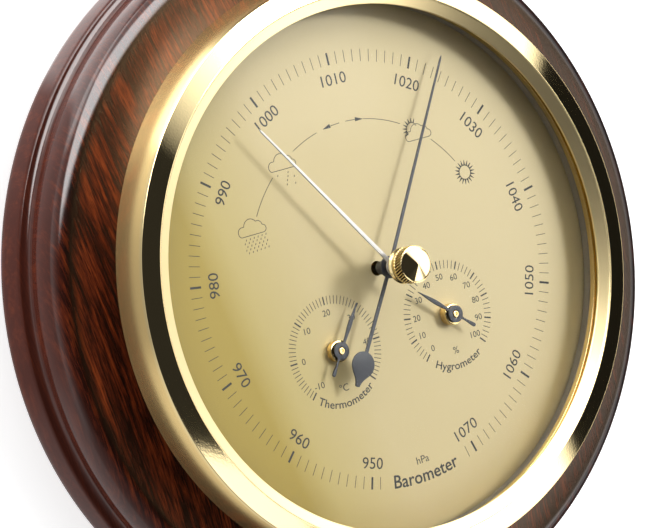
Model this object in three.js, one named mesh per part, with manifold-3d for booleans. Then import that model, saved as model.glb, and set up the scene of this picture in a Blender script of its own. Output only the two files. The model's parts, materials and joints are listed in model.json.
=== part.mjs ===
// A round wall barometer with a thermometer and a hygrometer in its dial.
// Turned wooden case, polished brass bezel, domed glass, printed dial and an aneroid movement.
// Millimetres. The group is built facing +Z with +Y up, then turned so that the dial faces -Y and +Z is up.
// Heights below are measured from the wall, along the dial's axis.

import * as THREE from 'three';
import { mergeVertices } from 'three/addons/utils/BufferGeometryUtils.js';
import Module from 'manifold-3d';

const wasm = await Module();
wasm.setup();

const degrees = Math.PI / 180;

// Fits
const gap = 0.3;             // between pieces that rest on or fit in each other
const runningGap = 0.2;      // round a shaft in its hole
const passGap = 0.9;         // between the knob's end of the train and what it turns past

// Steel pot that holds the movement
const potRadius = 62;
const potWall = 0.8;
const flangeWidth = 5.5;
const flangeThickness = 1.2;
const flangeRadius = potRadius + flangeWidth;
const flangeScrewHead = 2.1;
const flangeScrewShank = 0.9;
const flangeScrewLength = 11;
const flangeScrewCircle = flangeRadius - flangeScrewHead - 0.5;
const ventRadius = 2.6;
const ventCircle = 0.71 * potRadius;
const ventCount = 8;
const adjustingHoleRadius = 3.4;

// Dial and glass
const dialFront = 26;
const dialThickness = 0.6;
const dialRadius = potRadius - 0.1;
const arborHoleRadius = 1.7;
const glassThickness = 1.6;
const glassRise = 3;
const glassEdgeHeight = dialFront + 4.4;
const glassRadius = potRadius;
const glassHoleRadius = 2.2;
const sightRadius = glassRadius - 1.5;
const spacerThickness = 2;

// Brass bezel
const bezelBore = glassRadius + 0.4;
const lipRadius = glassRadius - 2.8;
const lipHeight = dialFront + 7.1;
const lipEdge = 0.5;
const bezelChamfer = 0.3;
const facetInnerRadius = lipRadius + 2.75;
const facetInnerHeight = lipHeight + 1.1;
const facetOuterRadius = facetInnerRadius + 4.35;
const facetOuterHeight = facetInnerHeight + bezelChamfer;
const footRadius = flangeRadius + 0.7;
const footHeight = dialFront + 0.2;
const wallMiddle = 2.6;       // above the foot, where its wall leans in
const wallShoulder = 5.4;

// Wooden case, a turned ring
const bandWidth = 10;
const bulgeWidth = 4.3;
const bulgeFall = 8.7;
const flankWidth = 2.5;
const coveFall = 2.2;
const rebateRadius = flangeRadius + gap;
const crestRadius = rebateRadius + bandWidth;
const crestHeight = dialFront - 1.8;
const creaseDepth = 0.6;
const seatHeight = footHeight - gap;
const dishDepth = 3;
const arrisRadius = crestRadius + bulgeWidth;
const arrisHeight = crestHeight - bulgeFall;
const caseRadius = arrisRadius + flankWidth;
const flankTop = arrisHeight - coveFall;
const caseBackRounding = 7.5;
const hangingHoleRadius = 4.2;
const hangingHoleDepth = 12;
const hangingHoleUp = potRadius + 8.2;

// Movement, from the pot's floor up
const plateThickness = 1;
const nutRadius = 3.2;
const nutThickness = 1.7;
const basePlateHeight = potWall + 2 * gap + 2.2;
const capsuleRadius = 17;
const capsuleRim = 1.2;
const capsuleBulge = 2.2;
const capsuleWaves = 3;
const capsuleUp = 6;
const capsuleStem = 1.5;
const capsuleLow = basePlateHeight + plateThickness + gap;
const capsuleHigh = capsuleLow + capsuleRim + 2 * capsuleBulge;
const bossRadius = 2.8;
const bossHeight = 0.7;
const bossTop = capsuleHigh + bossHeight;
const studRadius = 1.2;
const studLength = 1.8;
const studDepth = 0.7;
const rockerRadius = 0.7;
const rockerHeight = bossTop - studDepth + studLength + rockerRadius;
const trainPlateHeight = rockerHeight + 1.6;
const plateMargin = 3.2;
const pillarRadius = 1.6;
const pillarClear = 0.7;
const pillarAngle = 55.5;
const pillarCircle = capsuleRadius + pillarClear + pillarRadius;
const pillarAcross = pillarCircle * Math.cos(pillarAngle * degrees);
const pillarTop = capsuleUp + pillarCircle * Math.sin(pillarAngle * degrees);
const pillarBottom = capsuleUp - pillarCircle;
const footPostRadius = 2;
const footPostAcross = 7.5;
const footPostTop = pillarTop + 7;
const footPostBottom = pillarBottom;
const dialPostRadius = 2;
const dialPostAcross = 8;
const dialPostUp = 12;
const basePlateWidth = 2 * (pillarAcross + plateMargin);
const basePlateTop = footPostTop + 5;

// Gear train
const toothModule = 0.4;
const pinionTeeth = 10;
const sectorFullTeeth = 120;
const sectorTeeth = 13;
const pinionRadius = toothModule * pinionTeeth / 2;
const sectorRadius = toothModule * sectorFullTeeth / 2;
const sectorUp = pinionRadius + sectorRadius;
const pinionHeight = trainPlateHeight + plateThickness + 1.4;
const pinionThickness = 2;
const sectorThickness = 1;
const sectorHeight = pinionHeight + (pinionThickness - sectorThickness) / 2;
const sectorRim = 2.4;
const sectorHub = 2.6;
const sectorSpoke = 1.6;
const sectorTail = 4;
const tailWidth = 1;
const arborRadius = 0.8;
const arborTop = dialFront + 5.6;
const hairspringTurns = 4;
const hairspringInner = 1.5;
const hairspringOuter = 5.6;
const hairspringWire = 0.3;
const hairspringStudRadius = 0.6;
const hairspringHeight = pinionHeight + pinionThickness + passGap;
const topPlateHeight = hairspringHeight + 1.1;

// Rocking lever between the capsule and the sector
const rockerReach = sectorHeight + sectorThickness / 2 - rockerHeight;
const crankReach = 2;
const crankWidth = 1.8;
const crankThickness = 0.8;
const crankPast = 1.3;
const armWidth = 1.2;
const armThickness = 0.9;
const armGap = 0.4;
const bearingWidth = 4;
const bearingThickness = 1.5;
const bearingDrop = 2;
const lowerBearing = -4;
const upperBearing = 20;

// Barometer hand
const barometerRest = 34;
const barometerSweep = 329.4;
const barometerTip = 52;
const barometerTail = 28.4;
const barometerHubRadius = 2.55;
const barometerHandHeight = dialFront + 4.7;
const barometerTipDrop = 1.6;
const barometerTailDrop = 0.5;
const handThickness = 0.4;
const armHalf = 0.42;        // half the width of the hand's arm
const dropLength = 9.4;      // the drop near the end of its tail
const dropHalf = 2.8;

// Set hand and knob
const setRest = -34.7;
const setTip = 45.5;
const setTail = 5.8;
const setHalf = 0.5;
const setHubRadius = 2.2;
const setTipDrop = 1.4;
const setTailDrop = 0.1;
const spindleRadius = 1;
const spindleFoot = dialFront + 6;
const spindleFlange = 1.9;
const setHandHeight = spindleFoot + gap + 0.25;
const ferruleWall = 0.6;
const ferruleFlange = 1.2;
const knobRadius = 4.2;
const knobBase = glassEdgeHeight + glassThickness + glassRise + 0.6;
const knobWaist = 2.7;
const knurlLength = 2.5;
const knobCone = 1.1;
const knurlStart = knobBase + knobWaist;
const knobFront = knurlStart + knurlLength;
const knobApex = knobFront + knobCone;
const knurlDepth = 0.22;
const knurlGrooves = 30;

// Thermometer and hygrometer in the dial
const subdialAcross = 16.35;
const subdialUp = -15.05;
const thermometerRest = 36.9;
const hygrometerRest = -50.1;
const thermometerHandHeight = dialFront + 2.2;
const hygrometerHandHeight = dialFront + 2.8;
const subdialTip = 11.6;
const subdialTail = 6.6;
const subdialHubRadius = 2.1;
const subdialShaft = 0.75;
const bushRadius = 2.5;
const bushNeck = 1.9;
const bushDepth = 2.6;
const coilTurns = 5;
const coilOuter = 7.6;
const coilInner = 1.7;
const coilStrip = 0.3;
const coilWidth = 3;
const bracketReach = coilOuter + 1;
const bracketStrap = 0.9;
const bracketWidth = 5;
const coilHeight = dialFront - dialThickness - bushDepth - gap - 4.1;
const bracketFloor = coilHeight - coilWidth / 2 - bracketStrap - passGap;

// Adjusting screw at the back
const adjustingUp = pillarBottom - 9;
const basePlateBottom = adjustingUp - 6;
const adjustingHead = 2.6;
const adjustingShank = 1.2;
const adjustingSlot = 0.8;
const adjustingTop = basePlateHeight + plateThickness + 1.8;

// How many flats make a round piece
const bigRing = 60;
const mediumRing = 40;
const smallRing = 20;
const shaftRing = 12;

function finish(color, roughness, metalness) {
  return new THREE.MeshStandardMaterial({ color, roughness, metalness });
}

const stainedWood = finish(0x4a2018, 0.3, 0);
const polishedBrass = finish(0xe0be6a, 0.12, 1);
const dialGold = finish(0xcbb878, 0.4, 0.8);
const clearGlass = new THREE.MeshStandardMaterial({
  color: 0xf4f8f8, roughness: 0.02, metalness: 0, transparent: true, opacity: 0.2,
});
const greyPlastic = finish(0x8f877b, 0.55, 0);
const zincSteel = finish(0xa6a8a8, 0.45, 0.9);
const plainBrass = finish(0xc6a256, 0.35, 1);
const nickelSilver = finish(0xb9b5a6, 0.3, 1);
const bluedSteel = finish(0x45464e, 0.45, 0.6);
const brightSteel = finish(0xc3c5c8, 0.25, 1);
const whitePaint = finish(0xe9e7e2, 0.4, 0.1);
const bimetal = finish(0xae8f63, 0.4, 0.9);

const instrument = new THREE.Group();
instrument.rotation.x = Math.PI / 2;

// A closed surface without doubled vertices or flat triangles, facing out.
function closed(geometry) {
  let bare = geometry.index ? geometry.clone() : mergeVertices(geometry);
  bare.deleteAttribute('normal');
  bare.deleteAttribute('uv');
  bare = mergeVertices(bare, 1e-4);
  const corners = bare.getIndex().array;
  const kept = [];
  for (let i = 0; i < corners.length; i += 3) {
    const [a, b, c] = corners.slice(i, i + 3);
    if (a !== b && b !== c && c !== a) kept.push(a, b, c);
  }
  const place = bare.getAttribute('position');
  const corner = [new THREE.Vector3(), new THREE.Vector3(), new THREE.Vector3()];
  let volume = 0;
  for (let i = 0; i < kept.length; i += 3) {
    corner.forEach((point, k) => point.fromBufferAttribute(place, kept[i + k]));
    volume += corner[0].dot(corner[1].clone().cross(corner[2])) / 6;
  }
  if (volume < 0) kept.reverse();
  bare.setIndex(kept);
  return bare;
}

function toManifold(geometry) {
  const bare = closed(geometry);
  const vertProperties = new Float32Array(bare.getAttribute('position').array);
  const triVerts = new Uint32Array(bare.getIndex().array);
  return new wasm.Manifold(new wasm.Mesh({ numProp: 3, vertProperties, triVerts }));
}

function fromManifold(manifold) {
  const mesh = manifold.getMesh();
  const geometry = new THREE.BufferGeometry();
  geometry.setAttribute('position', new THREE.BufferAttribute(new Float32Array(mesh.vertProperties), 3));
  geometry.setIndex([...mesh.triVerts]);
  return geometry;
}

function cut(geometry, ...cutters) {
  let body = toManifold(geometry);
  for (const cutter of cutters) body = body.subtract(toManifold(cutter));
  return fromManifold(body);
}

function join(geometry, ...others) {
  let body = toManifold(geometry);
  for (const other of others) body = body.add(toManifold(other));
  return fromManifold(body);
}

// A profile of [radius, height] pairs turned about the dial's axis.
function turned(profile, sides) {
  const points = profile.map(([radius, height]) => new THREE.Vector2(radius, height));
  return new THREE.LatheGeometry(points, sides).rotateX(Math.PI / 2);
}

function ring(inner, outer, low, high, sides) {
  return turned([[inner, low], [outer, low], [outer, high], [inner, high], [inner, low]], sides);
}

function rod(radius, low, high, sides = shaftRing) {
  return turned([[0, low], [radius, low], [radius, high], [0, high]], sides);
}

function plate(shape, low, thickness, curveSegments = 6) {
  const geometry = new THREE.ExtrudeGeometry(shape, { depth: thickness, bevelEnabled: false, curveSegments });
  return geometry.translate(0, 0, low);
}

function block(x0, x1, y0, y1, z0, z1) {
  const geometry = new THREE.BoxGeometry(x1 - x0, y1 - y0, z1 - z0);
  return geometry.translate((x0 + x1) / 2, (y0 + y1) / 2, (z0 + z1) / 2);
}

function add(name, geometry, material, x = 0, y = 0, turn = 0) {
  const mesh = new THREE.Mesh(closed(geometry), material);
  mesh.name = name;
  mesh.position.set(x, y, 0);
  mesh.rotation.z = turn;
  instrument.add(mesh);
}

// The right half of an outline, from its top to its bottom, mirrored about the axis.
function mirrored(path, divisions) {
  const right = path.getPoints(divisions);
  const left = right.filter((point) => point.x > 1e-6).map((point) => new THREE.Vector2(-point.x, point.y));
  return new THREE.Shape([...right, ...left.reverse()].reverse());
}

function roundHole(shape, radius, x = 0, y = 0) {
  shape.holes.push(new THREE.Path().absarc(x, y, radius, 0, 2 * Math.PI, true));
  return shape;
}

// The outline round a convex row of points, given anticlockwise, a margin away from them.
function outlineAround(points, margin) {
  const shape = new THREE.Shape();
  points.forEach(([x, y], i) => {
    const [px, py] = points[(i + points.length - 1) % points.length];
    const [nx, ny] = points[(i + 1) % points.length];
    const from = Math.atan2(y - py, x - px) - Math.PI / 2;
    const to = Math.atan2(ny - y, nx - x) - Math.PI / 2;
    shape.absarc(x, y, margin, from, to, false);
  });
  return shape;
}

function curvePoints(from, control, to, divisions) {
  const ends = [from, control, to].map(([radius, height]) => new THREE.Vector2(radius, height));
  return new THREE.QuadraticBezierCurve(...ends).getPoints(divisions).map((point) => [point.x, point.y]);
}

// Screw with a countersunk head, standing in the flange and the wood. A margin makes its own hole.
function flangeScrewProfile(margin) {
  const top = flangeTop - 0.1 + margin;
  const neck = flangeTop - flangeThickness;
  const point = flangeTop - flangeScrewLength - margin;
  return [
    [0, point], [flangeScrewShank + margin, point],
    [flangeScrewShank + margin, neck], [flangeScrewHead + margin, top - 0.1],
    [flangeScrewHead + margin, top], [0, top],
  ];
}

const dialBack = dialFront - dialThickness;
const flangeTop = dialBack - gap;

function flangeScrewPlaces() {
  return [120, 240, 360].map((angle) => [
    flangeScrewCircle * Math.cos(angle * degrees), flangeScrewCircle * Math.sin(angle * degrees),
  ]);
}

function flangeScrewHoles() {
  return flangeScrewPlaces().map(([x, y]) => turned(flangeScrewProfile(gap), shaftRing).translate(x, y, 0));
}

function woodCase() {
  const middle = (rebateRadius + crestRadius) / 2 - gap;
  const dish = [middle, seatHeight - dishDepth];
  const crease = [crestRadius - 2 * gap, crestHeight - gap];
  const fall = crestHeight - arrisHeight;
  const shoulder = [arrisRadius - (arrisRadius - crestRadius) / 3, crestHeight - fall / 3.5];
  const band = curvePoints([rebateRadius, seatHeight], dish, crease, 4);
  const bulge = curvePoints([crestRadius, crestHeight], shoulder, [arrisRadius, arrisHeight], 5);
  const flankEdge = [caseRadius - 2 * gap, flankTop + gap];
  const cove = curvePoints([arrisRadius, arrisHeight], [arrisRadius, flankTop + gap], flankEdge, 2).slice(1);
  const back = [];
  for (let i = 0; i <= 5; i += 1) {
    const angle = i * 18 * degrees;
    back.push([
      caseRadius - caseBackRounding * (1 - Math.cos(angle)), caseBackRounding * (1 - Math.sin(angle)),
    ]);
  }
  const bore = potRadius + 2 * gap;
  const rebateFloor = flangeTop - flangeThickness - gap;
  const profile = [
    [bore, 0], [bore, rebateFloor], [rebateRadius, rebateFloor], ...band,
    [crestRadius - gap, crestHeight - creaseDepth], ...bulge, ...cove,
    [caseRadius, flankTop], ...back, [bore, 0],
  ];
  const hangingHole = rod(hangingHoleRadius, -1, hangingHoleDepth, smallRing).translate(0, hangingHoleUp, 0);
  return cut(turned(profile, bigRing), hangingHole, ...flangeScrewHoles());
}

function pot() {
  const profile = [
    [0, 0], [potRadius - 1, 0], [potRadius, 1], [potRadius, flangeTop - flangeThickness],
    [flangeRadius, flangeTop - flangeThickness], [flangeRadius, flangeTop], [potRadius - potWall, flangeTop],
    [potRadius - potWall, potWall], [0, potWall],
  ];
  const cutters = flangeScrewHoles();
  for (let i = 0; i < ventCount; i += 1) {
    const angle = (i + 0.5) * 2 * Math.PI / ventCount;
    const vent = rod(ventRadius, -1, 2 * potWall, shaftRing);
    cutters.push(vent.translate(ventCircle * Math.cos(angle), ventCircle * Math.sin(angle), 0));
  }
  cutters.push(rod(adjustingHoleRadius, -1, 2 * potWall, smallRing).translate(0, adjustingUp, 0));
  return cut(turned(profile, bigRing), ...cutters);
}

function bezel() {
  const glassSeat = lipHeight - lipEdge;
  return turned([
    [bezelBore, flangeTop + gap], [flangeRadius, flangeTop + gap], [flangeRadius, footHeight],
    [footRadius, footHeight], [footRadius - bezelChamfer, footHeight + wallMiddle],
    [footRadius - 3 * bezelChamfer, footHeight + wallShoulder],
    [facetOuterRadius, facetOuterHeight], [facetInnerRadius, facetInnerHeight],
    [facetInnerRadius - bezelChamfer, facetInnerHeight - bezelChamfer], [lipRadius, lipHeight],
    [lipRadius, glassSeat], [bezelBore, glassSeat], [bezelBore, flangeTop + gap],
  ], bigRing);
}

// Domed glass: its height falls with the square of the distance from the axis.
function glassTop(radius) {
  return glassEdgeHeight + glassThickness + glassRise * (1 - (radius / glassRadius) ** 2);
}

function glass() {
  const steps = 5;
  const step = (glassRadius - glassHoleRadius) / steps;
  const radii = Array.from({ length: steps + 1 }, (_, i) => glassHoleRadius + i * step);
  const top = radii.map((radius) => [radius, glassTop(radius)]);
  const under = radii.map((radius) => [radius, glassTop(radius) - glassThickness]);
  return turned([...under, ...top.reverse(), under[0]], mediumRing);
}

function dialPlate() {
  const shape = new THREE.Shape().absarc(0, 0, dialRadius, 0, 2 * Math.PI, false);
  roundHole(shape, arborHoleRadius);
  roundHole(shape, bushNeck + gap, -subdialAcross, subdialUp);
  roundHole(shape, bushNeck + gap, subdialAcross, subdialUp);
  return plate(shape, dialBack, dialThickness, bigRing / 2);
}

function basePlate() {
  const half = basePlateWidth / 2;
  const shape = new THREE.Shape();
  shape.absarc(0, basePlateTop - half, half, 0, Math.PI, false);
  shape.absarc(0, basePlateBottom + half, half, Math.PI, 2 * Math.PI, false);
  roundHole(shape, capsuleStem + gap, 0, capsuleUp);
  roundHole(shape, adjustingShank + gap, 0, adjustingUp);
  return plate(shape, basePlateHeight, plateThickness, 10);
}

const pillarPlaces = [[pillarAcross, pillarTop], [-pillarAcross, pillarTop], [0, pillarBottom]];

function movementPlate(low) {
  const crown = [[pinionRadius, sectorUp - arborRadius], [-pinionRadius, sectorUp - arborRadius]];
  const corners = [[0, pillarBottom], pillarPlaces[0], ...crown, pillarPlaces[1]];
  const shape = outlineAround(corners, plateMargin);
  roundHole(shape, arborRadius + runningGap);
  roundHole(shape, arborRadius + runningGap, 0, sectorUp);
  return shape;
}

function trainPlate() {
  const shape = movementPlate();
  for (const [x, y] of pillarPlaces) roundHole(shape, pillarRadius + gap, x, y);
  return plate(shape, trainPlateHeight, plateThickness);
}

function topPlate() {
  return plate(movementPlate(), topPlateHeight, plateThickness);
}

const studRest = bossTop - studDepth - travelPerDegree() * barometerRest;

function travelPerDegree() {
  const rockerSweep = sectorTail * barometerSweep * pinionTeeth / sectorFullTeeth / rockerReach;
  return rockerSweep * degrees * crankReach / barometerSweep;
}

function corrugations(inner, outer, height, sign) {
  const points = [];
  const step = (outer - inner) / (2 * capsuleWaves);
  for (let i = 0; i <= 2 * capsuleWaves; i += 1) {
    const slope = capsuleBulge * (1 - i / (2 * capsuleWaves));
    const wave = i % 2 === 0 ? 0 : -capsuleBulge / 4;
    points.push([inner + i * step, height + sign * (slope + wave)]);
  }
  return points;
}

// Sealed capsule: two corrugated discs on a threaded stem, with a boss that the stud stands in.
function capsule() {
  const rimLow = capsuleLow + capsuleBulge;
  const rimHigh = rimLow + capsuleRim;
  const under = corrugations(bossRadius, capsuleRadius - capsuleRim, rimLow, -1);
  const over = corrugations(bossRadius, capsuleRadius - capsuleRim, rimHigh, 1).reverse();
  const stemFoot = basePlateHeight - nutThickness - gap - 0.6;
  const boreFloor = bossTop - studDepth - 0.8;
  return turned([
    [0, stemFoot], [capsuleStem, stemFoot], [capsuleStem, capsuleLow], ...under,
    [capsuleRadius, rimLow], [capsuleRadius, rimHigh], ...over,
    [bossRadius, bossTop], [studRadius + gap, bossTop], [studRadius + gap, boreFloor], [0, boreFloor],
  ], 30);
}

function capsuleNut() {
  const corners = Array.from({ length: 6 }, (_, i) => new THREE.Vector2(
    nutRadius * Math.cos(i * 60 * degrees), nutRadius * Math.sin(i * 60 * degrees)));
  const shape = roundHole(new THREE.Shape(corners), capsuleStem + runningGap);
  return plate(shape, basePlateHeight - gap - nutThickness, nutThickness);
}

// One tooth after another, each a trapezium about the pitch circle, from one angle over so many pitches.
function teeth(pitchRadius, count, pitchAngle, start) {
  const points = [];
  const addendum = 0.8 * toothModule;
  const dedendum = 1.25 * toothModule;
  const rootHalf = 0.72 * toothModule / pitchRadius;
  const tipHalf = 0.26 * toothModule / pitchRadius;
  for (let i = 0; i < count; i += 1) {
    const middle = start + i * pitchAngle;
    const corners = [
      [-rootHalf, -dedendum], [-tipHalf, addendum], [tipHalf, addendum], [rootHalf, -dedendum],
    ];
    for (const [angle, rise] of corners) {
      const radius = pitchRadius + rise;
      points.push(new THREE.Vector2(radius * Math.cos(middle + angle), radius * Math.sin(middle + angle)));
    }
  }
  return points;
}

function pinionArbor() {
  const pitchAngle = 2 * Math.PI / pinionTeeth;
  const pinion = new THREE.Shape(teeth(pinionRadius, pinionTeeth, pitchAngle, Math.PI / 2 + pitchAngle / 2));
  const low = trainPlateHeight - gap;
  const collet = hairspringInner - hairspringWire / 2 - runningGap;
  const colletLow = hairspringHeight - collet / 2;
  const colletTop = hairspringHeight + collet / 2;
  const shaft = turned([
    [0, low], [arborRadius, low], [arborRadius, colletLow], [collet, colletLow],
    [collet, colletTop], [arborRadius, colletTop], [arborRadius, arborTop], [0, arborTop],
  ], shaftRing);
  return join(shaft, plate(pinion, pinionHeight, pinionThickness));
}

function toothedSector() {
  const pitchAngle = 2 * Math.PI / sectorFullTeeth;
  const half = (sectorTeeth - 1) / 2 * pitchAngle;
  const rootRadius = sectorRadius - 1.25 * toothModule;
  const rimInner = rootRadius - sectorRim;
  const down = -Math.PI / 2;
  const shape = new THREE.Shape(teeth(sectorRadius, sectorTeeth, pitchAngle, down - half));
  const edge = half + pitchAngle / 2;
  shape.lineTo(rootRadius * Math.cos(down + edge), rootRadius * Math.sin(down + edge));
  shape.lineTo(sectorHub, 0);
  shape.absarc(0, 0, sectorHub, 0, Math.PI / 2 - 0.2, false);
  shape.lineTo(tailWidth / 2, sectorTail + armWidth / 2);
  shape.lineTo(-tailWidth / 2, sectorTail + armWidth / 2);
  shape.absarc(0, 0, sectorHub, Math.PI / 2 + 0.2, Math.PI, false);
  shape.lineTo(rootRadius * Math.cos(down - edge), rootRadius * Math.sin(down - edge));
  roundHole(shape, arborRadius + runningGap / 2);
  const window = new THREE.Path();
  const side = sectorRim / rimInner;
  window.absarc(0, 0, rimInner, down - edge + side, down + edge - side, false);
  window.lineTo(sectorSpoke, -2 * sectorHub);
  window.lineTo(-sectorSpoke, -2 * sectorHub);
  shape.holes.push(window);
  return plate(shape, sectorHeight, sectorThickness, 10);
}

// Rocking lever: its crank rests on the capsule's stud, and its arm leans on the sector's tail.
function rockingLever() {
  const axis = crankReach;
  const tailUp = sectorUp + sectorTail;
  const start = lowerBearing - gap;
  const shaft = rod(rockerRadius, start, tailUp + armWidth / 2 + gap).rotateX(-Math.PI / 2);
  shaft.translate(axis, 0, rockerHeight);
  const low = rockerHeight - crankThickness / 2;
  const [crankLow, crankHigh] = [capsuleUp - crankWidth / 2, capsuleUp + crankWidth / 2];
  const crank = block(-crankPast, axis, crankLow, crankHigh, low, low + crankThickness);
  const face = -tailWidth / 2 - armGap;
  const [armLow, armHigh] = [tailUp - armWidth / 2, tailUp + armWidth / 2];
  const armFoot = block(face - armThickness, axis, armLow, armHigh, low, low + crankThickness);
  const armTop = sectorHeight + sectorThickness + armWidth;
  const arm = block(face - armThickness, face, armLow, armHigh, low, armTop);
  const lever = join(shaft, crank, armFoot, arm);
  return lever.translate(-axis, 0, -rockerHeight).rotateY(-rockerRestTurn()).translate(axis, 0, rockerHeight);
}

function rockerRestTurn() {
  return sectorTail / rockerReach * barometerRest * pinionTeeth / sectorFullTeeth * degrees;
}

function rockerBearing(y) {
  const low = rockerHeight - bearingDrop;
  const shape = new THREE.Shape();
  shape.moveTo(-bearingWidth / 2, low);
  shape.lineTo(bearingWidth / 2, low);
  shape.lineTo(bearingWidth / 2, trainPlateHeight - gap);
  shape.lineTo(-bearingWidth / 2, trainPlateHeight - gap);
  roundHole(shape, rockerRadius + runningGap, 0, rockerHeight);
  return upright(shape, bearingThickness, 6).translate(crankReach, y, 0);
}

// A shape drawn across and up from the wall, given a thickness along the part's height.
function upright(shape, thickness, curveSegments) {
  const geometry = new THREE.ExtrudeGeometry(shape, { depth: thickness, bevelEnabled: false, curveSegments });
  return geometry.rotateX(Math.PI / 2).scale(1, -1, 1);
}

// Flat spiral of a strip: its radius grows evenly with the angle, and its ends are square.
function spiral(inner, outer, turns, thickness, width, height, stepsPerTurn) {
  const steps = Math.round(turns * stepsPerTurn);
  const places = [];
  const corners = [];
  for (let i = 0; i <= steps; i += 1) {
    const angle = i / stepsPerTurn * 2 * Math.PI;
    const radius = inner + (outer - inner) * i / steps;
    for (const [side, rise] of [[-1, -1], [1, -1], [1, 1], [-1, 1]]) {
      const reach = radius + side * thickness / 2;
      places.push(reach * Math.cos(angle), reach * Math.sin(angle), height + rise * width / 2);
    }
  }
  for (let i = 0; i < steps; i += 1) {
    for (let k = 0; k < 4; k += 1) {
      const [a, b] = [4 * i + k, 4 * i + (k + 1) % 4];
      corners.push(a, b, b + 4, a, b + 4, a + 4);
    }
  }
  const last = 4 * steps;
  corners.push(0, 2, 1, 0, 3, 2, last, last + 1, last + 2, last, last + 2, last + 3);
  const geometry = new THREE.BufferGeometry();
  geometry.setAttribute('position', new THREE.BufferAttribute(new Float32Array(places), 3));
  geometry.setIndex(corners);
  return geometry;
}

// Least gap between the turns of a flat spiral, measured between points at least half a turn apart.
function leastGap(inner, outer, turns, thickness, stepsPerTurn) {
  const steps = Math.round(turns * stepsPerTurn);
  const points = Array.from({ length: steps + 1 }, (_, i) => {
    const angle = i / stepsPerTurn * 2 * Math.PI;
    const radius = inner + (outer - inner) * i / steps;
    return new THREE.Vector2(radius * Math.cos(angle), radius * Math.sin(angle));
  });
  let least = Infinity;
  points.forEach((point, i) => {
    for (let k = i + stepsPerTurn / 2; k <= steps; k += 1) least = Math.min(least, point.distanceTo(points[k]));
  });
  return least - thickness;
}

// A hand is thinnest at its ends and leans towards the dial from its hub.
function leaning(geometry, tip, tipDrop, tail, tailDrop) {
  const place = geometry.getAttribute('position');
  for (let i = 0; i < place.count; i += 1) {
    const along = place.getY(i);
    const drop = along > 0 ? tipDrop * along / tip : tailDrop * -along / tail;
    place.setZ(i, place.getZ(i) - drop);
  }
  return geometry;
}

function barometerHandShape() {
  const half = new THREE.Path();
  const dropStart = dropLength - barometerTail;
  const widest = dropStart - dropLength / 2;
  half.moveTo(0, barometerTip);
  half.lineTo(armHalf / 2, barometerTip - 2 * armHalf);
  half.lineTo(armHalf, barometerHubRadius);
  half.absarc(0, 0, barometerHubRadius, 80 * degrees, -80 * degrees, true);
  half.lineTo(armHalf, dropStart);
  const shoulder = 0.55 * (dropStart + widest);
  half.bezierCurveTo(0.8 * dropHalf, dropStart, 1.05 * dropHalf, shoulder, dropHalf, widest);
  const point = armHalf / 2 - barometerTail;
  const narrowing = widest - 0.22 * dropLength;
  half.bezierCurveTo(0.9 * dropHalf, narrowing, armHalf, narrowing - 0.08 * dropLength, armHalf, point);
  half.lineTo(0, -barometerTail);
  return roundHole(mirrored(half, 5), arborRadius + runningGap / 2);
}

function setHandShape() {
  const half = new THREE.Path();
  half.moveTo(0, setTip);
  half.lineTo(setHalf / 2, setTip - 2 * setHalf);
  half.lineTo(setHalf, setHubRadius);
  half.absarc(0, 0, setHubRadius, 76 * degrees, -76 * degrees, true);
  half.lineTo(setHalf, setHalf - setTail);
  half.lineTo(0, -setTail);
  return roundHole(mirrored(half, 5), spindleRadius + runningGap / 2);
}

function subdialHandShape() {
  const half = new THREE.Path();
  const width = subdialHubRadius / 5;
  half.moveTo(0, subdialTip);
  half.bezierCurveTo(width / 2, 0.83 * subdialTip, 1.8 * width, 0.65 * subdialTip, width, 0.35 * subdialTip);
  half.lineTo(0.6 * width, subdialHubRadius);
  half.absarc(0, 0, subdialHubRadius, 80 * degrees, -80 * degrees, true);
  half.lineTo(0.4 * width, -0.45 * subdialTail);
  const point = width / 2 - subdialTail;
  half.bezierCurveTo(0.7 * width, -0.67 * subdialTail, 1.7 * width, -0.85 * subdialTail, width, point);
  half.lineTo(0, -subdialTail);
  return roundHole(mirrored(half, 5), subdialShaft + runningGap);
}

// Knob: a smooth waist, a knurled rim and a shallow cone, with a blind hole for its spindle.
function knob() {
  const profile = [
    [0, knobBase], [knobRadius - 0.5, knobBase], [knobRadius, knobBase + 0.35],
    [knobRadius - 0.45, knobBase + 1.3],
    [knobRadius - 0.3, knurlStart - 0.2], [knobRadius, knurlStart], [knobRadius, knobFront],
    [knobRadius - 0.3, knobFront + 0.15], [0, knobApex],
  ];
  const solid = turned(profile, 2 * knurlGrooves);
  const place = solid.getAttribute('position');
  const row = profile.length;
  for (let column = 1; column < 2 * knurlGrooves; column += 2) {
    for (const k of [5, 6]) {
      const i = column * row + k;
      const scale = (knobRadius - knurlDepth) / knobRadius;
      place.setXY(i, place.getX(i) * scale, place.getY(i) * scale);
    }
  }
  return cut(solid, rod(spindleRadius + runningGap / 2, knobBase - 1, knurlStart + 1.2));
}

function knobSpindle() {
  const top = knurlStart + 1;
  return turned([
    [0, spindleFoot], [spindleFlange, spindleFoot], [spindleFlange, spindleFoot + gap],
    [spindleRadius, spindleFoot + gap],
    [spindleRadius, top], [0, top],
  ], shaftRing);
}

// Brass ferrule that lines the hole in the glass.
function glassFerrule() {
  const inner = spindleRadius + runningGap;
  const outer = inner + ferruleWall;
  const glassOut = glassTop(glassHoleRadius);
  return turned([
    [inner, glassOut - glassThickness], [outer, glassOut - glassThickness], [outer, glassOut + 0.1],
    [outer + ferruleFlange, glassOut + 0.1], [outer + ferruleFlange, glassOut + 0.4], [inner, glassOut + 0.4],
    [inner, glassOut - glassThickness],
  ], smallRing);
}

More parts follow.
